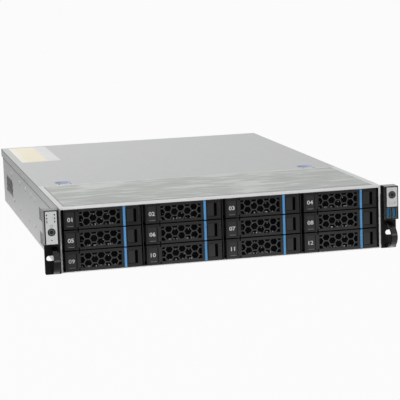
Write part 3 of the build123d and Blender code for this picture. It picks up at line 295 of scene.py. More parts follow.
# Places that several pieces share: X to the right, Y to the back, Z up
layout = {"columns": 4, "rows": 3, "columnPitch": 108.7, "rowPitch": 27.6, "firstRow": 14.9,
          "bezelFace": -326.0, "frontEdge": -325.0, "coverTop": 87.0, "wallFace": 218.8, "flangeFace": 220.0,
          "rearWall": 316.0, "supplyLevels": (21.3, 63.0), "cupX": 180.5}
mostly = 0.5        # a face looks along an axis when its normal has more than this share of it


# Bays are numbered row by row from the top left; the first row's height is the lowest one's
def bayCentre(number):
    row, column = divmod(number - 1, layout["columns"])
    return ((column - (layout["columns"] - 1) / 2) * layout["columnPitch"],
            layout["firstRow"] + (layout["rows"] - 1 - row) * layout["rowPitch"])


def within(value, limits):
    return limits[0] < value < limits[1]


# Materials for a CAD node; choose picks one by a face's centre in mm and its normal
def dress(node, *names, choose=None):
    mesh = nodes[node].data
    mesh.materials.clear()
    for name in names:
        mesh.materials.append(materials[name])
    if choose:
        for polygon in mesh.polygons:
            polygon.material_index = choose(polygon.center / mm, polygon.normal)


trayPlaces = {"innerShadeX": (217.0, 217.95), "hemEnd": -319.0,
              "sideX": (217.75, 218.85), "sideY": (-200.0, 290.0), "sideZ": (3.0, 59.0),
              "rearX": (-63.0, 97.0), "rearY": (314.9, 316.1), "rearZ": (55.0, 82.0)}


# Tray: sheet, painted shade inside the punched vents and on the side walls' inner faces, painted highlight on
# the front edges
def trayPart(c, n):
    across = abs(c.x)
    # painted shade on the side walls' inner faces
    if within(across, trayPlaces["innerShadeX"]) and n.x * c.x < -mostly * across:
        return 2
    # painted highlight on the tray's front edges
    if n.y < -mostly and c.y < trayPlaces["hemEnd"]:
        return 3
    # painted shade inside the punched vents
    inSide = (within(across, trayPlaces["sideX"]) and within(c.y, trayPlaces["sideY"])
              and within(c.z, trayPlaces["sideZ"]) and abs(n.x) < mostly)
    inRear = (within(c.x, trayPlaces["rearX"]) and within(c.y, trayPlaces["rearY"])
              and within(c.z, trayPlaces["rearZ"]) and abs(n.y) < mostly)
    return int(inSide or inRear)


coverPlaces = {"edgeY": -324.0, "flangeX": 218.9, "flangeTop": 86.9}


# Front cover: bright top, duller flanges, painted highlight on the front edge
def frontCoverPart(c, n):
    if n.y < -mostly and c.y < coverPlaces["edgeY"]:
        return 2
    return int(abs(c.x) > coverPlaces["flangeX"] and c.z < coverPlaces["flangeTop"])


cupPlaces = {"y": -107.0, "reach": 12.2, "z": (80.5, 86.95), "level": 0.9}


# Rear cover: sheet, and the finger cups' walls and floors
def rearCoverPart(c, n):
    fromCup = math.hypot(abs(c.x) - layout["cupX"], c.y - cupPlaces["y"])
    if fromCup > cupPlaces["reach"] or not within(c.z, cupPlaces["z"]):
        return 0
    return 2 if n.z > cupPlaces["level"] else 1


innerPlaces = {"bulkheadEnd": -79.85, "plugEnd": -155.95, "portStart": 312.9, "laminateTop": 9.3}


# Fan wall: plastic frames, and the sheet bulkhead in front of them
def fanWallPart(c, n):
    return int(c.y < innerPlaces["bulkheadEnd"])


# Backplane: laminate, and the plugs in front of it
def backplanePart(c, n):
    return int(c.y < innerPlaces["plugEnd"])


# Motherboard: laminate, black sockets, plated ports
def boardPart(c, n):
    if c.y > innerPlaces["portStart"]:
        return 2
    return 0 if c.z < innerPlaces["laminateTop"] else 1


earPlaces = {"loopTop": 38.0, "loopEnd": -327.55, "housingFoot": 40.6, "housingX": 222.45,
             "housingEnd": -320.9}


# Ears: painted bracket, glossy pull loop, housing behind the plate
def earPart(c, n):
    if c.z < earPlaces["loopTop"] and c.y < earPlaces["loopEnd"]:
        return 1
    isHousing = (c.z > earPlaces["housingFoot"] and abs(c.x) > earPlaces["housingX"]
                 and c.y < earPlaces["housingEnd"])
    return 2 if isHousing else 0


portPlaces = {"x": (226.0, 234.4), "reach": 1.15, "z": 49.7, "half": 5.6, "floor": -335.0}


# Ports: plated shells, and the blue tongues told apart by their inner faces
def portPart(c, n):
    inset = min(abs(c.x - x) for x in portPlaces["x"])
    return int(inset < portPlaces["reach"] and abs(c.z - portPlaces["z"]) < portPlaces["half"]
               and c.y > portPlaces["floor"])


supplyPlaces = {"loopStart": 316.3, "guardX": 163.0, "guardStart": 311.5, "guardReach": 16.6, "inletX": 204.0,
                "inletHalf": 10.1, "inletStart": 299.9, "pinEnd": 310.2}


# Supplies: case, black pull loop, fan guard and inlet, plated pins
def supplyPart(c, n):
    if c.y > supplyPlaces["loopStart"]:
        return 1
    fromGuard = math.hypot(c.x - supplyPlaces["guardX"], min(abs(c.z - z) for z in layout["supplyLevels"]))
    if c.y > supplyPlaces["guardStart"] and fromGuard < supplyPlaces["guardReach"]:
        return 1
    if abs(c.x - supplyPlaces["inletX"]) < supplyPlaces["inletHalf"] and c.y > supplyPlaces["inletStart"]:
        return 2 if c.y < supplyPlaces["pinEnd"] and n.y < mostly else 1
    return 0


carrierPlaces = {"driveStart": -308.0, "driveHalf": 50.85, "driveShadeEnd": -307.0, "skin": -325.95,
                 "pocketX": (31.8, 45.3), "pocketHalf": 8.85, "padX": (-48.5, -37.2), "padHalf": 9.4}


# Carriers: frame, drive, number pad, and painted shade on the drive's front end and in the finger pocket
def carrierPart(number):
    x, z = bayCentre(number)

    def choose(c, n):
        across, up = c.x - x, abs(c.z - z)
        if c.y > carrierPlaces["driveStart"] and abs(across) < carrierPlaces["driveHalf"]:
            # painted shade on the drive's front end
            return 3 if c.y < carrierPlaces["driveShadeEnd"] else 1
        if c.y > carrierPlaces["skin"]:
            # painted shade in the finger pocket
            return 4 if within(across, carrierPlaces["pocketX"]) and up < carrierPlaces["pocketHalf"] else 0
        return 2 if within(across, carrierPlaces["padX"]) and up < carrierPlaces["padHalf"] else 0
    return choose


leverPlaces = {"windowX": (-30.8, 23.7), "windowHalf": 9.5, "barY": (-325.25, -325.15)}


# Levers: plate, and a painted highlight on the front faces of the honeycomb's bars
def leverPart(number):
    x, z = bayCentre(number)

    def choose(c, n):
        return int(within(c.x - x, leverPlaces["windowX"]) and abs(c.z - z) < leverPlaces["windowHalf"]
                   and within(c.y, leverPlaces["barY"]))
    return choose


dress("rear_blanking_plates", "galvanisedSteel")
dress("chassis_tray", "galvanisedSteel", "ventShade", "innerWallShade", "frontEdgeHighlight", choose=trayPart)
dress("front_cover", "brightSteel", "galvanisedSteel", "frontEdgeHighlight", choose=frontCoverPart)
dress("rear_cover", "galvanisedSteel", "cupWall", "cupFloor", choose=rearCoverPart)
dress("drive_cage", "blackPowderCoat")
dress("fan_frames", "fanPlastic", "galvanisedSteel", choose=fanWallPart)
dress("drive_backplane", "circuitBoard", "portBlack", choose=backplanePart)
dress("motherboard", "circuitBoard", "portBlack", "nickelPlate", choose=boardPart)
dress("heat_sinks", "extrudedAluminium")
dress("memory_modules", "circuitBoard")
dress("control_plates", "anodisedPlate")
dress("usb_ports", "castAluminium", "portBlue", choose=portPart)
for node in ("power_button", "locator_button"):
    dress(node, "keyRubber")
for node in ("left_ear", "right_ear"):
    dress(node, "earPaint", "glossyLoop", "modulePlastic", choose=earPart)
for number in fans:
    dress("fan_rotor_%d" % number, "fanPlastic")
for number in supplies:
    dress("power_supply_%d" % number, "supplySheet", "portBlack", "nickelPlate", choose=supplyPart)
    dress("supply_latch_%d" % number, "latchGreen")
for number in bays:
    dress("carrier_%02d" % number, "bezelPlastic", "castAluminium", "numberPad", "driveEndShade",
          "pocketShade", choose=carrierPart(number))
    dress("lever_%02d" % number, "leverPlastic", "grilleBarHighlight", choose=leverPart(number))
    dress("release_button_%02d" % number, "buttonPlastic")
print("CAD nodes dressed")


# A box between two corners, with its edges rounded if asked
def addBlock(shape, low, high, edge=0.0, segments=1):
    made = bmesh.ops.create_cube(shape, size=1.0)["verts"]
    bmesh.ops.scale(shape, vec=[(b - a) * mm for a, b in zip(low, high)], verts=made)
    bmesh.ops.translate(shape, vec=[(a + b) / 2 * mm for a, b in zip(low, high)], verts=made)
    if edge:
        edges = list({e for v in made for e in v.link_edges})
        bmesh.ops.bevel(shape, geom=edges, offset=edge * mm, offset_type="OFFSET", segments=segments,
                        profile=0.5, affect="EDGES", material=-1)


def facing(direction, place):
    turn = Vector((0, 0, 1)).rotation_difference(Vector(direction)).to_matrix().to_4x4()
    return Matrix.Translation(Vector(place) * mm) @ turn


seamReach = 1e-7        # in metres: points of a turned shape this close become one
sidesRound = {"small": 12, "usual": 16, "large": 32}


# A profile of (radius, height) pairs, turned about its axis and set at a place
def addTurned(shape, profile, place, steps=sidesRound["usual"]):
    before = set(shape.verts)
    line = [shape.verts.new((radius * mm, 0, height * mm)) for radius, height in profile]
    edges = [shape.edges.new(pair) for pair in zip(line, line[1:])]
    bmesh.ops.spin(shape, geom=line + edges, cent=(0, 0, 0), axis=(0, 0, 1), angle=math.tau, steps=steps,
                   use_merge=True, use_duplicate=False)
    made = [v for v in shape.verts if v not in before]
    bmesh.ops.remove_doubles(shape, verts=made, dist=seamReach)
    made = [v for v in shape.verts if v not in before]
    bmesh.ops.transform(shape, matrix=place, verts=made)


def finishPiece(name, shape, materialName, body, smooth=False):
    bmesh.ops.recalc_face_normals(shape, faces=shape.faces)
    mesh = bpy.data.meshes.new(name)
    shape.to_mesh(mesh)
    shape.free()
    placePiece(name, mesh, materialName, body, smooth)


def placePiece(name, mesh, materialName, body, smooth=False):
    mesh.materials.clear()
    mesh.materials.append(materials[materialName])
    for polygon in mesh.polygons:
        polygon.use_smooth = smooth
    piece = bpy.data.objects.new(name, mesh)
    bpy.context.scene.collection.objects.link(piece)
    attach(piece, body)


# Bay fronts: strip, a painted highlight line along the number pad's ledge, and light pipes, from each bay's
# centre; Y is measured on the chassis
bayMarks = {"stripX": (27.4, 30.7), "stripProud": 0.46, "stripSunk": 0.5, "stripHalf": 13.12,
            "stripEdge": 0.35, "stripSegments": 3,
            "lineX": (-46.6, -38.4), "lineY": (-326.46, -326.2), "lineZ": (-9.25, -8.65), "lineEdge": 0.05,
            "pipeX": 48.6, "pipeZ": (7.5, 3.0), "pipe": [(0, 0.15), (0.45, 0.12), (0.6, 0)]}
# Bay numbers: the letters' thickness and boldness are in the font's own units, before they are scaled
numberLook = {"x": -42.9, "padFace": -326.4, "height": 5.5, "stretch": 1.14, "deepen": 1.5, "thick": 0.02,
              "bold": 0.02, "curveSteps": 4}


def numberMesh(name, words, x, z):
    curve = bpy.data.curves.new(name, "FONT")
    curve.body = words
    curve.extrude = numberLook["thick"]
    curve.resolution_u = numberLook["curveSteps"]
    curve.offset = numberLook["bold"]
    letters = bpy.data.objects.new(name + "Curve", curve)
    bpy.context.scene.collection.objects.link(letters)
    mesh = bpy.data.meshes.new_from_object(letters.evaluated_get(bpy.context.evaluated_depsgraph_get()))
    bpy.data.objects.remove(letters)
    xs, ys = [v.co.x for v in mesh.vertices], [v.co.y for v in mesh.vertices]
    share = numberLook["height"] / (max(ys) - min(ys))
    mesh.transform(Matrix.Translation((-(max(xs) + min(xs)) / 2, -(max(ys) + min(ys)) / 2, 0)))
    mesh.transform(Matrix.Diagonal((share * numberLook["stretch"] * mm, share * mm,
                                    numberLook["deepen"] * mm, 1)))
    place = Matrix.Translation((x * mm, numberLook["padFace"] * mm, z * mm))
    mesh.transform(place @ Matrix.Rotation(math.pi / 2, 4, "X"))
    return mesh


# Specks: painted glints, small pale blocks along the air opening's foot and on the drive's end. Each rule is
# a fixed
# step by place and by bay, and a count: it leaves specks out, sizes them and shifts them from bay to bay
specks = {"lowGlintX": (-29.5, -20.6, -17.6, -12.2, -9.4, -5.2, -2.6, 3.4, 6.4, 10.0, 14.2), "lowGlintY": -321.0,
          "lowGlintZ": (-10.5, -8.2), "lowGlintHalves": (0.39, 0.52, 0.65), "lowGlintShift": 0.5,
          "screws": ((-24.5, -3.5), (-9.4, 1.8), (-8.2, 3.4), (2.2, -4.6), (9.5, 0.6), (16.5, -2.8),
                     (-27.5, 5.5)), "endGlintY": (-308.5, -308.1), "endGlintHalf": 0.541667, "endGlintShift": 0.4,
          "sixths": (7, 5, 6), "thirds": (1, 1, 3), "fifths": (3, 1, 5)}


def scattered(n, number, rule):
    byPlace, byBay, count = rule
    return (n * byPlace + number * byBay) % count


def shifted(n, number):
    return scattered(n, number, specks["fifths"]) - specks["fifths"][2] // 2


def addSpecks(shape, number, x, z):
    low, high = specks["lowGlintZ"]
    for n, across in enumerate(specks["lowGlintX"]):
        if scattered(n, number, specks["sixths"]):
            half = specks["lowGlintHalves"][scattered(n, number, specks["thirds"])]
            at = x + across + specks["lowGlintShift"] * shifted(n, number)
            addBlock(shape, (at - half, specks["lowGlintY"] - half, z + low),
                     (at + half, specks["lowGlintY"] + half, z + high))
    front, back = specks["endGlintY"]
    half = specks["endGlintHalf"]
    for n, (across, up) in enumerate(specks["screws"]):
        if scattered(n, number, specks["thirds"]):
            at = x + across + specks["endGlintShift"] * shifted(n, number)
            addBlock(shape, (at - half, front, z + up - half), (at + half, back, z + up + half))


face = layout["bezelFace"]
for number in bays:
    x, z = bayCentre(number)
    tag = "_%02d" % number
    # pale blocks painted as glints behind the honeycomb
    bright = bmesh.new()
    addSpecks(bright, number, x, z)
    finishPiece("driveGlints" + tag, bright, "paintedGlint", "carrier" + tag)
    strip = bmesh.new()
    left, right = bayMarks["stripX"]
    addBlock(strip, (x + left, face - bayMarks["stripProud"], z - bayMarks["stripHalf"]),
             (x + right, face + bayMarks["stripSunk"], z + bayMarks["stripHalf"]),
             bayMarks["stripEdge"], bayMarks["stripSegments"])
    finishPiece("blueStrip" + tag, strip, "blueAcetal", "lever" + tag)
    mesh = numberMesh("bayNumber" + tag, "%02d" % number, x + numberLook["x"], z)
    placePiece("bayNumber" + tag, mesh, "printedNumber", "carrier" + tag)
    pipes = bmesh.new()
    for up in bayMarks["pipeZ"]:
        place = facing((0, -1, 0), (x + bayMarks["pipeX"], face, z + up))
        addTurned(pipes, bayMarks["pipe"], place, sidesRound["small"])
    finishPiece("lightPipes" + tag, pipes, "lightPipe", "carrier" + tag)
    # painted highlight along the number pad's lower ledge
    line = bmesh.new()
    (left, right), (front, back), (low, high) = bayMarks["lineX"], bayMarks["lineY"], bayMarks["lineZ"]
    addBlock(line, (x + left, front, z + low), (x + right, back, z + high), bayMarks["lineEdge"])
    finishPiece("numberLedgeHighlight" + tag, line, "greyInkAndLedgeHighlight", "carrier" + tag)
print("bay fronts made")

# Walls: rows of rail studs as (height, places along the wall), with a dark disc of painted shade for a hole
# below each higher stud
wallMarks = {"rows": ((62.0, (-80, -35, 25, 95, 200)), (22.0, (-5, 100)), (5.0, (5, 85, 185, 265))),
             "stud": [(0, 0.7), (1.3, 0.644), (2.2, 0.385), (2.6, 0)],
             "screw": [(0, 0.35), (0.7, 0.35), (0.9, 0.8), (1.6, 0.75), (2.2, 0.2), (2.2, 0)],
             "hole": [(0, 0.12), (1.5, 0.12), (1.5, 0)], "holeDrop": 4.4, "lowestHole": 2.5,
             "dot": [(0, 0.1), (1.3, 0.1), (1.3, 0)], "dotY": (-15, 5, 20, 75, 175), "dotZ": 77.5,
             "clipX": (218.8, 220.0), "clipY": (-75, 175), "clipZ": (20.8, 23.8), "clipHalf": 4.5,
             "clipEdge": 0.3, "shadeX": (218.75, 218.95), "shadeZ": (19.0, 20.8), "seamY": (-321.0, 315.0),
             "seamZ": (72.0, 74.4), "foldX": (219.96, 220.04), "foldZ": (85.2, 86.7),
             "folds": (("Front", "chassis", (-321.5, -129.5)), ("Rear", "rear_cover", (-128.5, 324.8))),
             "screws": ((219.2, -307, 80), (221.7, -291, 16), (221.7, -291, 62), (221.7, -305, 16),
                        (221.7, -305, 62))}


# A plate on one side's wall, between limits along each axis; the left side is -1
def addWallPlate(shape, side, xLimits, yLimits, zLimits, edge=0.0):
    left, right = sorted(side * x for x in xLimits)
    addBlock(shape, (left, yLimits[0], zLimits[0]), (right, yLimits[1], zLimits[1]), edge)


# A turned detail that looks out from one side's wall
def addWallTurned(shape, side, profile, x, y, z, steps=sidesRound["usual"]):
    addTurned(shape, profile, facing((side, 0, 0), (side * x, y, z)), steps)


for side, sideName in ((-1, "left"), (1, "right")):
    studs, shades, clips = bmesh.new(), bmesh.new(), bmesh.new()
    for z, places in wallMarks["rows"]:
        for y in places:
            addWallTurned(studs, side, wallMarks["stud"], layout["wallFace"], y, z)
            # dark discs of painted shade stand for the holes
            below = z - wallMarks["holeDrop"]
            if below > wallMarks["lowestHole"]:
                addWallTurned(shades, side, wallMarks["hole"], layout["wallFace"], y, below,
                              sidesRound["small"])
    for y in wallMarks["clipY"]:
        along = (y - wallMarks["clipHalf"], y + wallMarks["clipHalf"])
        # painted shadow under each clip
        addWallPlate(shades, side, wallMarks["shadeX"], along, wallMarks["shadeZ"])
        addWallPlate(clips, side, wallMarks["clipX"], along, wallMarks["clipZ"], wallMarks["clipEdge"])
    # painted shade along the seam under the flange
    addWallPlate(shades, side, wallMarks["shadeX"], wallMarks["seamY"], wallMarks["seamZ"])
    finishPiece(sideName + "WallRivets", studs, "brightSteel", "chassis", smooth=True)
    finishPiece(sideName + "WallShades", shades, "seamShadeAndRivets", "chassis")
    finishPiece(sideName + "WallClips", clips, "brightSteel", "chassis")
    # painted shade along the bend at the top of each flange
    for name, body, along in wallMarks["folds"]:
        fold = bmesh.new()
        addWallPlate(fold, side, wallMarks["foldX"], along, wallMarks["foldZ"])
        finishPiece(sideName + name + "Fold", fold, "foldShade", body)
    dots = bmesh.new()
    for y in wallMarks["dotY"]:
        addWallTurned(dots, side, wallMarks["dot"], layout["flangeFace"], y, wallMarks["dotZ"],
                      sidesRound["small"])
    finishPiece(sideName + "FlangeRivets", dots, "seamShadeAndRivets", "rear_cover")
    screws = bmesh.new()
    for x, y, z in wallMarks["screws"]:
        addWallTurned(screws, side, wallMarks["screw"], x, y, z)
    finishPiece(sideName + "FrontScrews", screws, "blackScrew", "chassis")

# Hem along the front cover's edge, above the bays, with a near-white painted highlight
top = layout["coverTop"]
hem = {"half": 218.6, "thick": 0.35, "foot": 83.6, "edge": 0.12, "segments": 2}
lip = bmesh.new()
addBlock(lip, (-hem["half"], layout["frontEdge"] - hem["thick"], hem["foot"]),
         (hem["half"], layout["frontEdge"], top), hem["edge"], hem["segments"])
finishPiece("coverHem", lip, "frontEdgeHighlight", "chassis")

# Film on the front cover, with a line of painted shade along its left and front rim
film = {"half": 211.5, "y": (-315.0, -135.0), "thick": 0.06, "rimLeft": 1.5, "rimFront": 4.0,
        "rimThick": 0.03}
near, far = film["y"]
sheet = bmesh.new()
addBlock(sheet, (-film["half"], near, top), (film["half"], far, top + film["thick"]))
finishPiece("coverFilm", sheet, "protectiveFilm", "chassis")
# painted shade along the film's left and front rim
rim = bmesh.new()
rimTop = top + film["rimThick"]
addBlock(rim, (-film["half"], near - film["rimFront"], top), (film["half"], near, rimTop))
addBlock(rim, (-film["half"] - film["rimLeft"], near - film["rimFront"], top), (-film["half"], far, rimTop))
finishPiece("coverFilmRimShade", rim, "filmRimShade", "chassis")

# Bare labels on the rear cover: X and Y limits, and heights above the cover
labels = {"cream": ((-209.0, -168.0), (132.0, 316.0), (0, 0.06)),
          "white": ((-168.0, -147.5), (132.0, 316.0), (0, 0.06)),
          "yellow": ((-200.0, -168.0), (136.0, 300.0), (0.05, 0.08))}
for kind, ((left, right), (near, far), (low, high)) in labels.items():
    paper = bmesh.new()
    addBlock(paper, (left, near, top + low), (right, far, top + high))
    finishPiece(kind + "CoverLabel", paper, kind + "Label", "rear_cover")

# Two notches in front of each finger cup, drawn as dark blocks of painted shade
notch = {"shifts": (-8.0, 8.0), "half": 1.0, "y": (-127.0, -121.0), "sunk": 0.1, "proud": 0.04}
near, far = notch["y"]
notches = bmesh.new()
for side in (-1, 1):
    for shift in notch["shifts"]:
        x = side * layout["cupX"] + shift
        addBlock(notches, (x - notch["half"], near, top - notch["sunk"]),
                 (x + notch["half"], far, top + notch["proud"]))
finishPiece("coverNotches", notches, "darkInkAndNotchShade", "rear_cover")
print("walls and covers made")

# Control plates: lamps on the left one, a ringed key on each, blue tongues in the right one's ports
controls = {"face": -339.0, "lampX": (227.5, 237.7), "lampZ": (80.6, 76.1, 71.7),
            "lamp": [(0, 0.35), (0.57, 0.3), (0.855, 0.15), (0.95, 0)],
            "keys": (("power", -1, 57.8), ("locator", 1, 74.6)), "keyX": 232.2, "keyFace": -339.3,
            "ring": [(2.7, 0), (2.75, 0.12), (3.5, 0.12), (3.55, 0), (2.7, 0)], "portX": (227.3, 235.7),
            "tongueX": (-2.2, 1.3), "tongueY": (-338.4, -326.0), "tongueZ": (44.0, 55.4), "tongueEdge": 0.2}
lenses = bmesh.new()
for x in controls["lampX"]:
    for z in controls["lampZ"]:
        addTurned(lenses, controls["lamp"], facing((0, -1, 0), (-x, controls["face"], z)))
finishPiece("statusLamps", lenses, "darkLens", "chassis", smooth=True)
for name, side, z in controls["keys"]:
    ring = bmesh.new()
    place = facing((0, -1, 0), (side * controls["keyX"], controls["keyFace"], z))
    addTurned(ring, controls["ring"], place, sidesRound["large"])
    finishPiece(name + "KeyRing", ring, "keyRing", name + "_button")
tongues = bmesh.new()
(left, right), (near, far), (low, high) = controls["tongueX"], controls["tongueY"], controls["tongueZ"]
for x in controls["portX"]:
    addBlock(tongues, (x + left, near, low), (x + right, far, high), controls["tongueEdge"])
finishPiece("portInserts", tongues, "portBlue", "chassis")

# Plain printed marks: pen strokes on the plates; arcs have a radius, start and end in degrees, and steps
marks = {"lift": 0.05, "thick": 0.08, "symbolAt": (-232.2, 65.9), "symbolArc": (1.7, 35, 325, 18),
         "symbolBar": [(0, 0.4), (0, 2.0)], "symbolPen": 0.35, "lampBar": [(-0.9, -1.9), (0.9, -1.9)],
         "lampPen": 0.3, "iconZ": 63.7, "iconPen": 0.4,
         "icons": ((228.6, (1.0, 200, 340, 8)), (232.2, (1.0, 90, 270, 8)), (235.8, (1.0, 0, 360, 14)))}


def arcPoints(radius, start, end, steps):
    turns = [math.radians(start + (end - start) * n / steps) for n in range(steps + 1)]
    return [(radius * math.sin(turn), radius * math.cos(turn)) for turn in turns]


def addStroke(shape, points, width, place):
    sides = []
    y = (controls["face"] - marks["lift"]) * mm
    for n, (x, z) in enumerate(points):
        ahead = points[min(n + 1, len(points) - 1)]
        behind = points[max(n - 1, 0)]
        along = Vector((ahead[0] - behind[0], ahead[1] - behind[1])).normalized() * width / 2
        sides.append([shape.verts.new(((place[0] + x + s * along.y) * mm, y,
                                       (place[1] + z - s * along.x) * mm)) for s in (-1, 1)])
    for a, b in zip(sides, sides[1:]):
        shape.faces.new((a[0], a[1], b[1], b[0]))


strokes = bmesh.new()
addStroke(strokes, arcPoints(*marks["symbolArc"]), marks["symbolPen"], marks["symbolAt"])
addStroke(strokes, marks["symbolBar"], marks["symbolPen"], marks["symbolAt"])
for x in controls["lampX"]:
    for z in controls["lampZ"]:
        addStroke(strokes, marks["lampBar"], marks["lampPen"], (-x, z))
icons = bmesh.new()
for x, arc in marks["icons"]:
    addStroke(icons, arcPoints(*arc), marks["iconPen"], (x, marks["iconZ"]))
for name, shape, ink in (("plateMarks", strokes, "darkInkAndNotchShade"), ("plateIcons", icons, "greyInkAndLedgeHighlight")):
    solid = bmesh.ops.extrude_face_region(shape, geom=shape.faces[:])["geom"]
    bmesh.ops.translate(shape, vec=(0, marks["thick"] * mm, 0),
                        verts=[g for g in solid if isinstance(g, bmesh.types.BMVert)])
    finishPiece(name, shape, ink, "chassis")
print("control plates marked")

# Rear: screws in the wall, and each supply's lamp and fan blades
rear = {"screws": ((-212, 80), (-120, 10), (-80, 80), (60, 80), (130, 10), (130, 80)),
        "blades": 7, "bladeLow": (6.0, -0.35, -2.6), "bladeHigh": (15.4, 0.35, 2.6), "bladeEdge": 0.2,
        "bladeTwist": 20, "fanX": 163.0, "fanY": 313.4, "lampX": 184.6, "lampUp": 16.0,
        "lamp": [(0, 0.5), (0.9, 0.4), (1.3, 0)]}
screws = bmesh.new()
for x, z in rear["screws"]:
    addTurned(screws, wallMarks["screw"], facing((0, 1, 0), (x, layout["rearWall"], z)))
finishPiece("rearWallScrews", screws, "nickelPlate", "chassis")
for number, level in zip(supplies, layout["supplyLevels"]):
    body = "power_supply_%d" % number
    blades = bmesh.new()
    hub = Matrix.Translation(Vector((rear["fanX"], rear["fanY"], level)) * mm)
    twist = Matrix.Rotation(math.radians(rear["bladeTwist"]), 4, "X")
    for n in range(rear["blades"]):
        before = set(blades.verts)
        addBlock(blades, rear["bladeLow"], rear["bladeHigh"], rear["bladeEdge"])
        made = [v for v in blades.verts if v not in before]
        turn = Matrix.Rotation(math.tau * n / rear["blades"], 4, "Y") @ twist
        bmesh.ops.transform(blades, matrix=hub @ turn, verts=made)
    finishPiece("supplyFanBlades_%d" % number, blades, "fanPlastic", body)
    lens = bmesh.new()
    place = facing((0, 1, 0), (rear["lampX"], layout["rearWall"], level + rear["lampUp"]))
    addTurned(lens, rear["lamp"], place)
    finishPiece("supplyLamp_%d" % number, lens, "latchGreen", body, smooth=True)
print("rear details made")

# Camera, fitted to the body's corners: its place, turns in degrees, lens and sensor width
view = {"place": (-512.3, -2395.7, 428.7), "turn": -13.082, "down": 9.213, "roll": -1.950, "lens": 146.52,
        "sensor": 36.0, "reachMetres": 100.0}


def aimCamera():
    turn, down, roll = (math.radians(view[key]) for key in ("turn", "down", "roll"))
    forward = Vector((-math.sin(turn) * math.cos(down), math.cos(turn) * math.cos(down), -math.sin(down)))
    flatRight = forward.cross(Vector((0, 0, 1))).normalized()
    flatUp = flatRight.cross(forward)
    right = math.cos(roll) * flatRight + math.sin(roll) * flatUp
    up = -math.sin(roll) * flatRight + math.cos(roll) * flatUp
    data = bpy.data.cameras.new("photoCamera")
    data.lens = view["lens"]
    data.sensor_width = view["sensor"]
    data.clip_end = view["reachMetres"]
    camera = bpy.data.objects.new("photoCamera", data)
    bpy.context.scene.collection.objects.link(camera)
    turned = Matrix((right, up, -forward)).transposed().to_4x4()
    camera.matrix_world = Matrix.Translation(Vector(view["place"]) * mm) @ turned
    bpy.context.scene.camera = camera


aimCamera()
# Paper floor and even sky: sizes in metres, strengths where 1 is white, fibres across the whole floor
stage = {"floorSize": 30.0, "poolCentre": (0.2, 0.0, 0.0), "poolReach": (0.4, 0.75), "poolEdge": 0.0,
         "paper": ("#7C7C7C", "#828282"), "paperStops": (0.3, 0.7), "fibres": 400.0, "paperGlow": 0.96,
         "glow": (1, 1, 1, 1), "worldSoft": 0.36, "horizon": 0.965}


# Whether a ray is one of these kinds, as 0 or 1
def addSeen(tree, rays, *kinds):
    seen = rays.outputs[kinds[0]]
    for kind in kinds[1:]:
        both = addNode(tree, "ShaderNodeMath", {"operation": "MAXIMUM"}, {0: seen, 1: rays.outputs[kind]})
        seen = both.outputs[0]
    return seen


# The camera, mirrors and glass see the paper white; the object's shadow stays on it
def litPaper():
    material = bpy.data.materials.new("seamlessPaper")
    material.use_nodes = True
    tree = material.node_tree
    tree.nodes.clear()
    rays = addNode(tree, "ShaderNodeLightPath")
    seen = addSeen(tree, rays, "Is Camera Ray", "Is Glossy Ray", "Is Transmission Ray")
    # mirrors see only a painted pool of light, white round the object; the camera sees the white everywhere
    place = addNode(tree, "ShaderNodeTexCoord").outputs["Object"]
    away = addNode(tree, "ShaderNodeVectorMath", {"operation": "DISTANCE", 1: stage["poolCentre"]},
                   {0: place})
    near, far = stage["poolReach"]
    pool = addNode(tree, "ShaderNodeMapRange", {"From Min": near, "From Max": far, "To Min": 1.0,
                   "To Max": stage["poolEdge"]}, {"Value": away.outputs["Value"]})
    pool = addNode(tree, "ShaderNodeMath", {"operation": "MAXIMUM"},
                   {0: pool.outputs[0], 1: rays.outputs["Is Camera Ray"]})
    lit = addNode(tree, "ShaderNodeMath", {"operation": "MULTIPLY"}, {0: seen, 1: pool.outputs[0]})
    share = addNode(tree, "ShaderNodeMath", {"operation": "MULTIPLY", 1: stage["paperGlow"]},
                    {0: lit.outputs[0]})
    fibre = addNode(tree, "ShaderNodeTexNoise", {"Scale": stage["fibres"]})
    tint = addNode(tree, "ShaderNodeValToRGB", {"stops": zip(stage["paperStops"], stage["paper"])},
                   {"Fac": fibre.outputs[0]})
    paper = addNode(tree, "ShaderNodeBsdfDiffuse", links={"Color": tint.outputs[0]})
    glow = addNode(tree, "ShaderNodeEmission", {"Color": stage["glow"], "Strength": 1.0})
    mix = addNode(tree, "ShaderNodeMixShader",
                  links={0: share.outputs[0], 1: paper.outputs[0], 2: glow.outputs[0]})
    addNode(tree, "ShaderNodeOutputMaterial", links={"Surface": mix.outputs[0]})
    return material


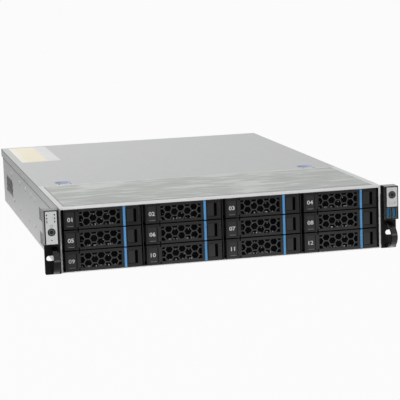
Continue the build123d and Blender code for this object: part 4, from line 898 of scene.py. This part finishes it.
floorShape = bmesh.new()
bmesh.ops.create_grid(floorShape, x_segments=2, y_segments=2, size=stage["floorSize"] / 2)
floorMesh = bpy.data.meshes.new("floor")
floorShape.to_mesh(floorMesh)
floorShape.free()
floorMesh.materials.append(litPaper())
floor = bpy.data.objects.new("floor", floorMesh)
bpy.context.scene.collection.objects.link(floor)

world = bpy.data.worlds.new("studio")
bpy.context.scene.world = world
world.use_nodes = True
tree = world.node_tree
tree.nodes.clear()
seen = addSeen(tree, addNode(tree, "ShaderNodeLightPath"), "Is Camera Ray", "Is Glossy Ray")
strength = addNode(tree, "ShaderNodeMapRange", {"To Min": stage["worldSoft"], "To Max": stage["horizon"]},
                   {"Value": seen})
sky = addNode(tree, "ShaderNodeBackground", {"Color": stage["glow"]}, {"Strength": strength.outputs[0]})
addNode(tree, "ShaderNodeOutputWorld", links={"Surface": sky.outputs[0]})

# Soft lamps: places and sizes in metres, power in watts; shines is for glossy faces, fills for matt ones
lamps = {
    "overheadSoftbox": {"place": (-0.85, 0.75, 1.25), "aim": (0, 0, 0), "size": (0.9, 0.9), "power": 12.0,
                        "shines": True, "fills": True},
    "loopStrip": {"place": (0.76, -3.2, 1.7), "aim": (0.1, -0.34, 0.02), "size": (1.7, 0.5), "power": 15.0,
                  "shines": True, "fills": False},
    "frontFill": {"place": (-1.9, -3.0, 0.8), "aim": (0, -0.3, 0.05), "size": (1.8, 1.8), "power": 80.0,
                  "shines": False, "fills": True},
}
for name, lamp in lamps.items():
    data = bpy.data.lights.new(name, "AREA")
    data.shape = "RECTANGLE"
    data.size, data.size_y = lamp["size"]
    data.energy = lamp["power"]
    light = bpy.data.objects.new(name, data)
    light.visible_glossy, light.visible_diffuse = lamp["shines"], lamp["fills"]
    bpy.context.scene.collection.objects.link(light)
    away = Vector(lamp["place"]) - Vector(lamp["aim"])
    turned = away.to_track_quat("Z", "Y").to_matrix().to_4x4()
    light.matrix_world = Matrix.Translation(lamp["place"]) @ turned
bpy.context.scene.view_settings.view_transform = "Standard"
print("stage set")
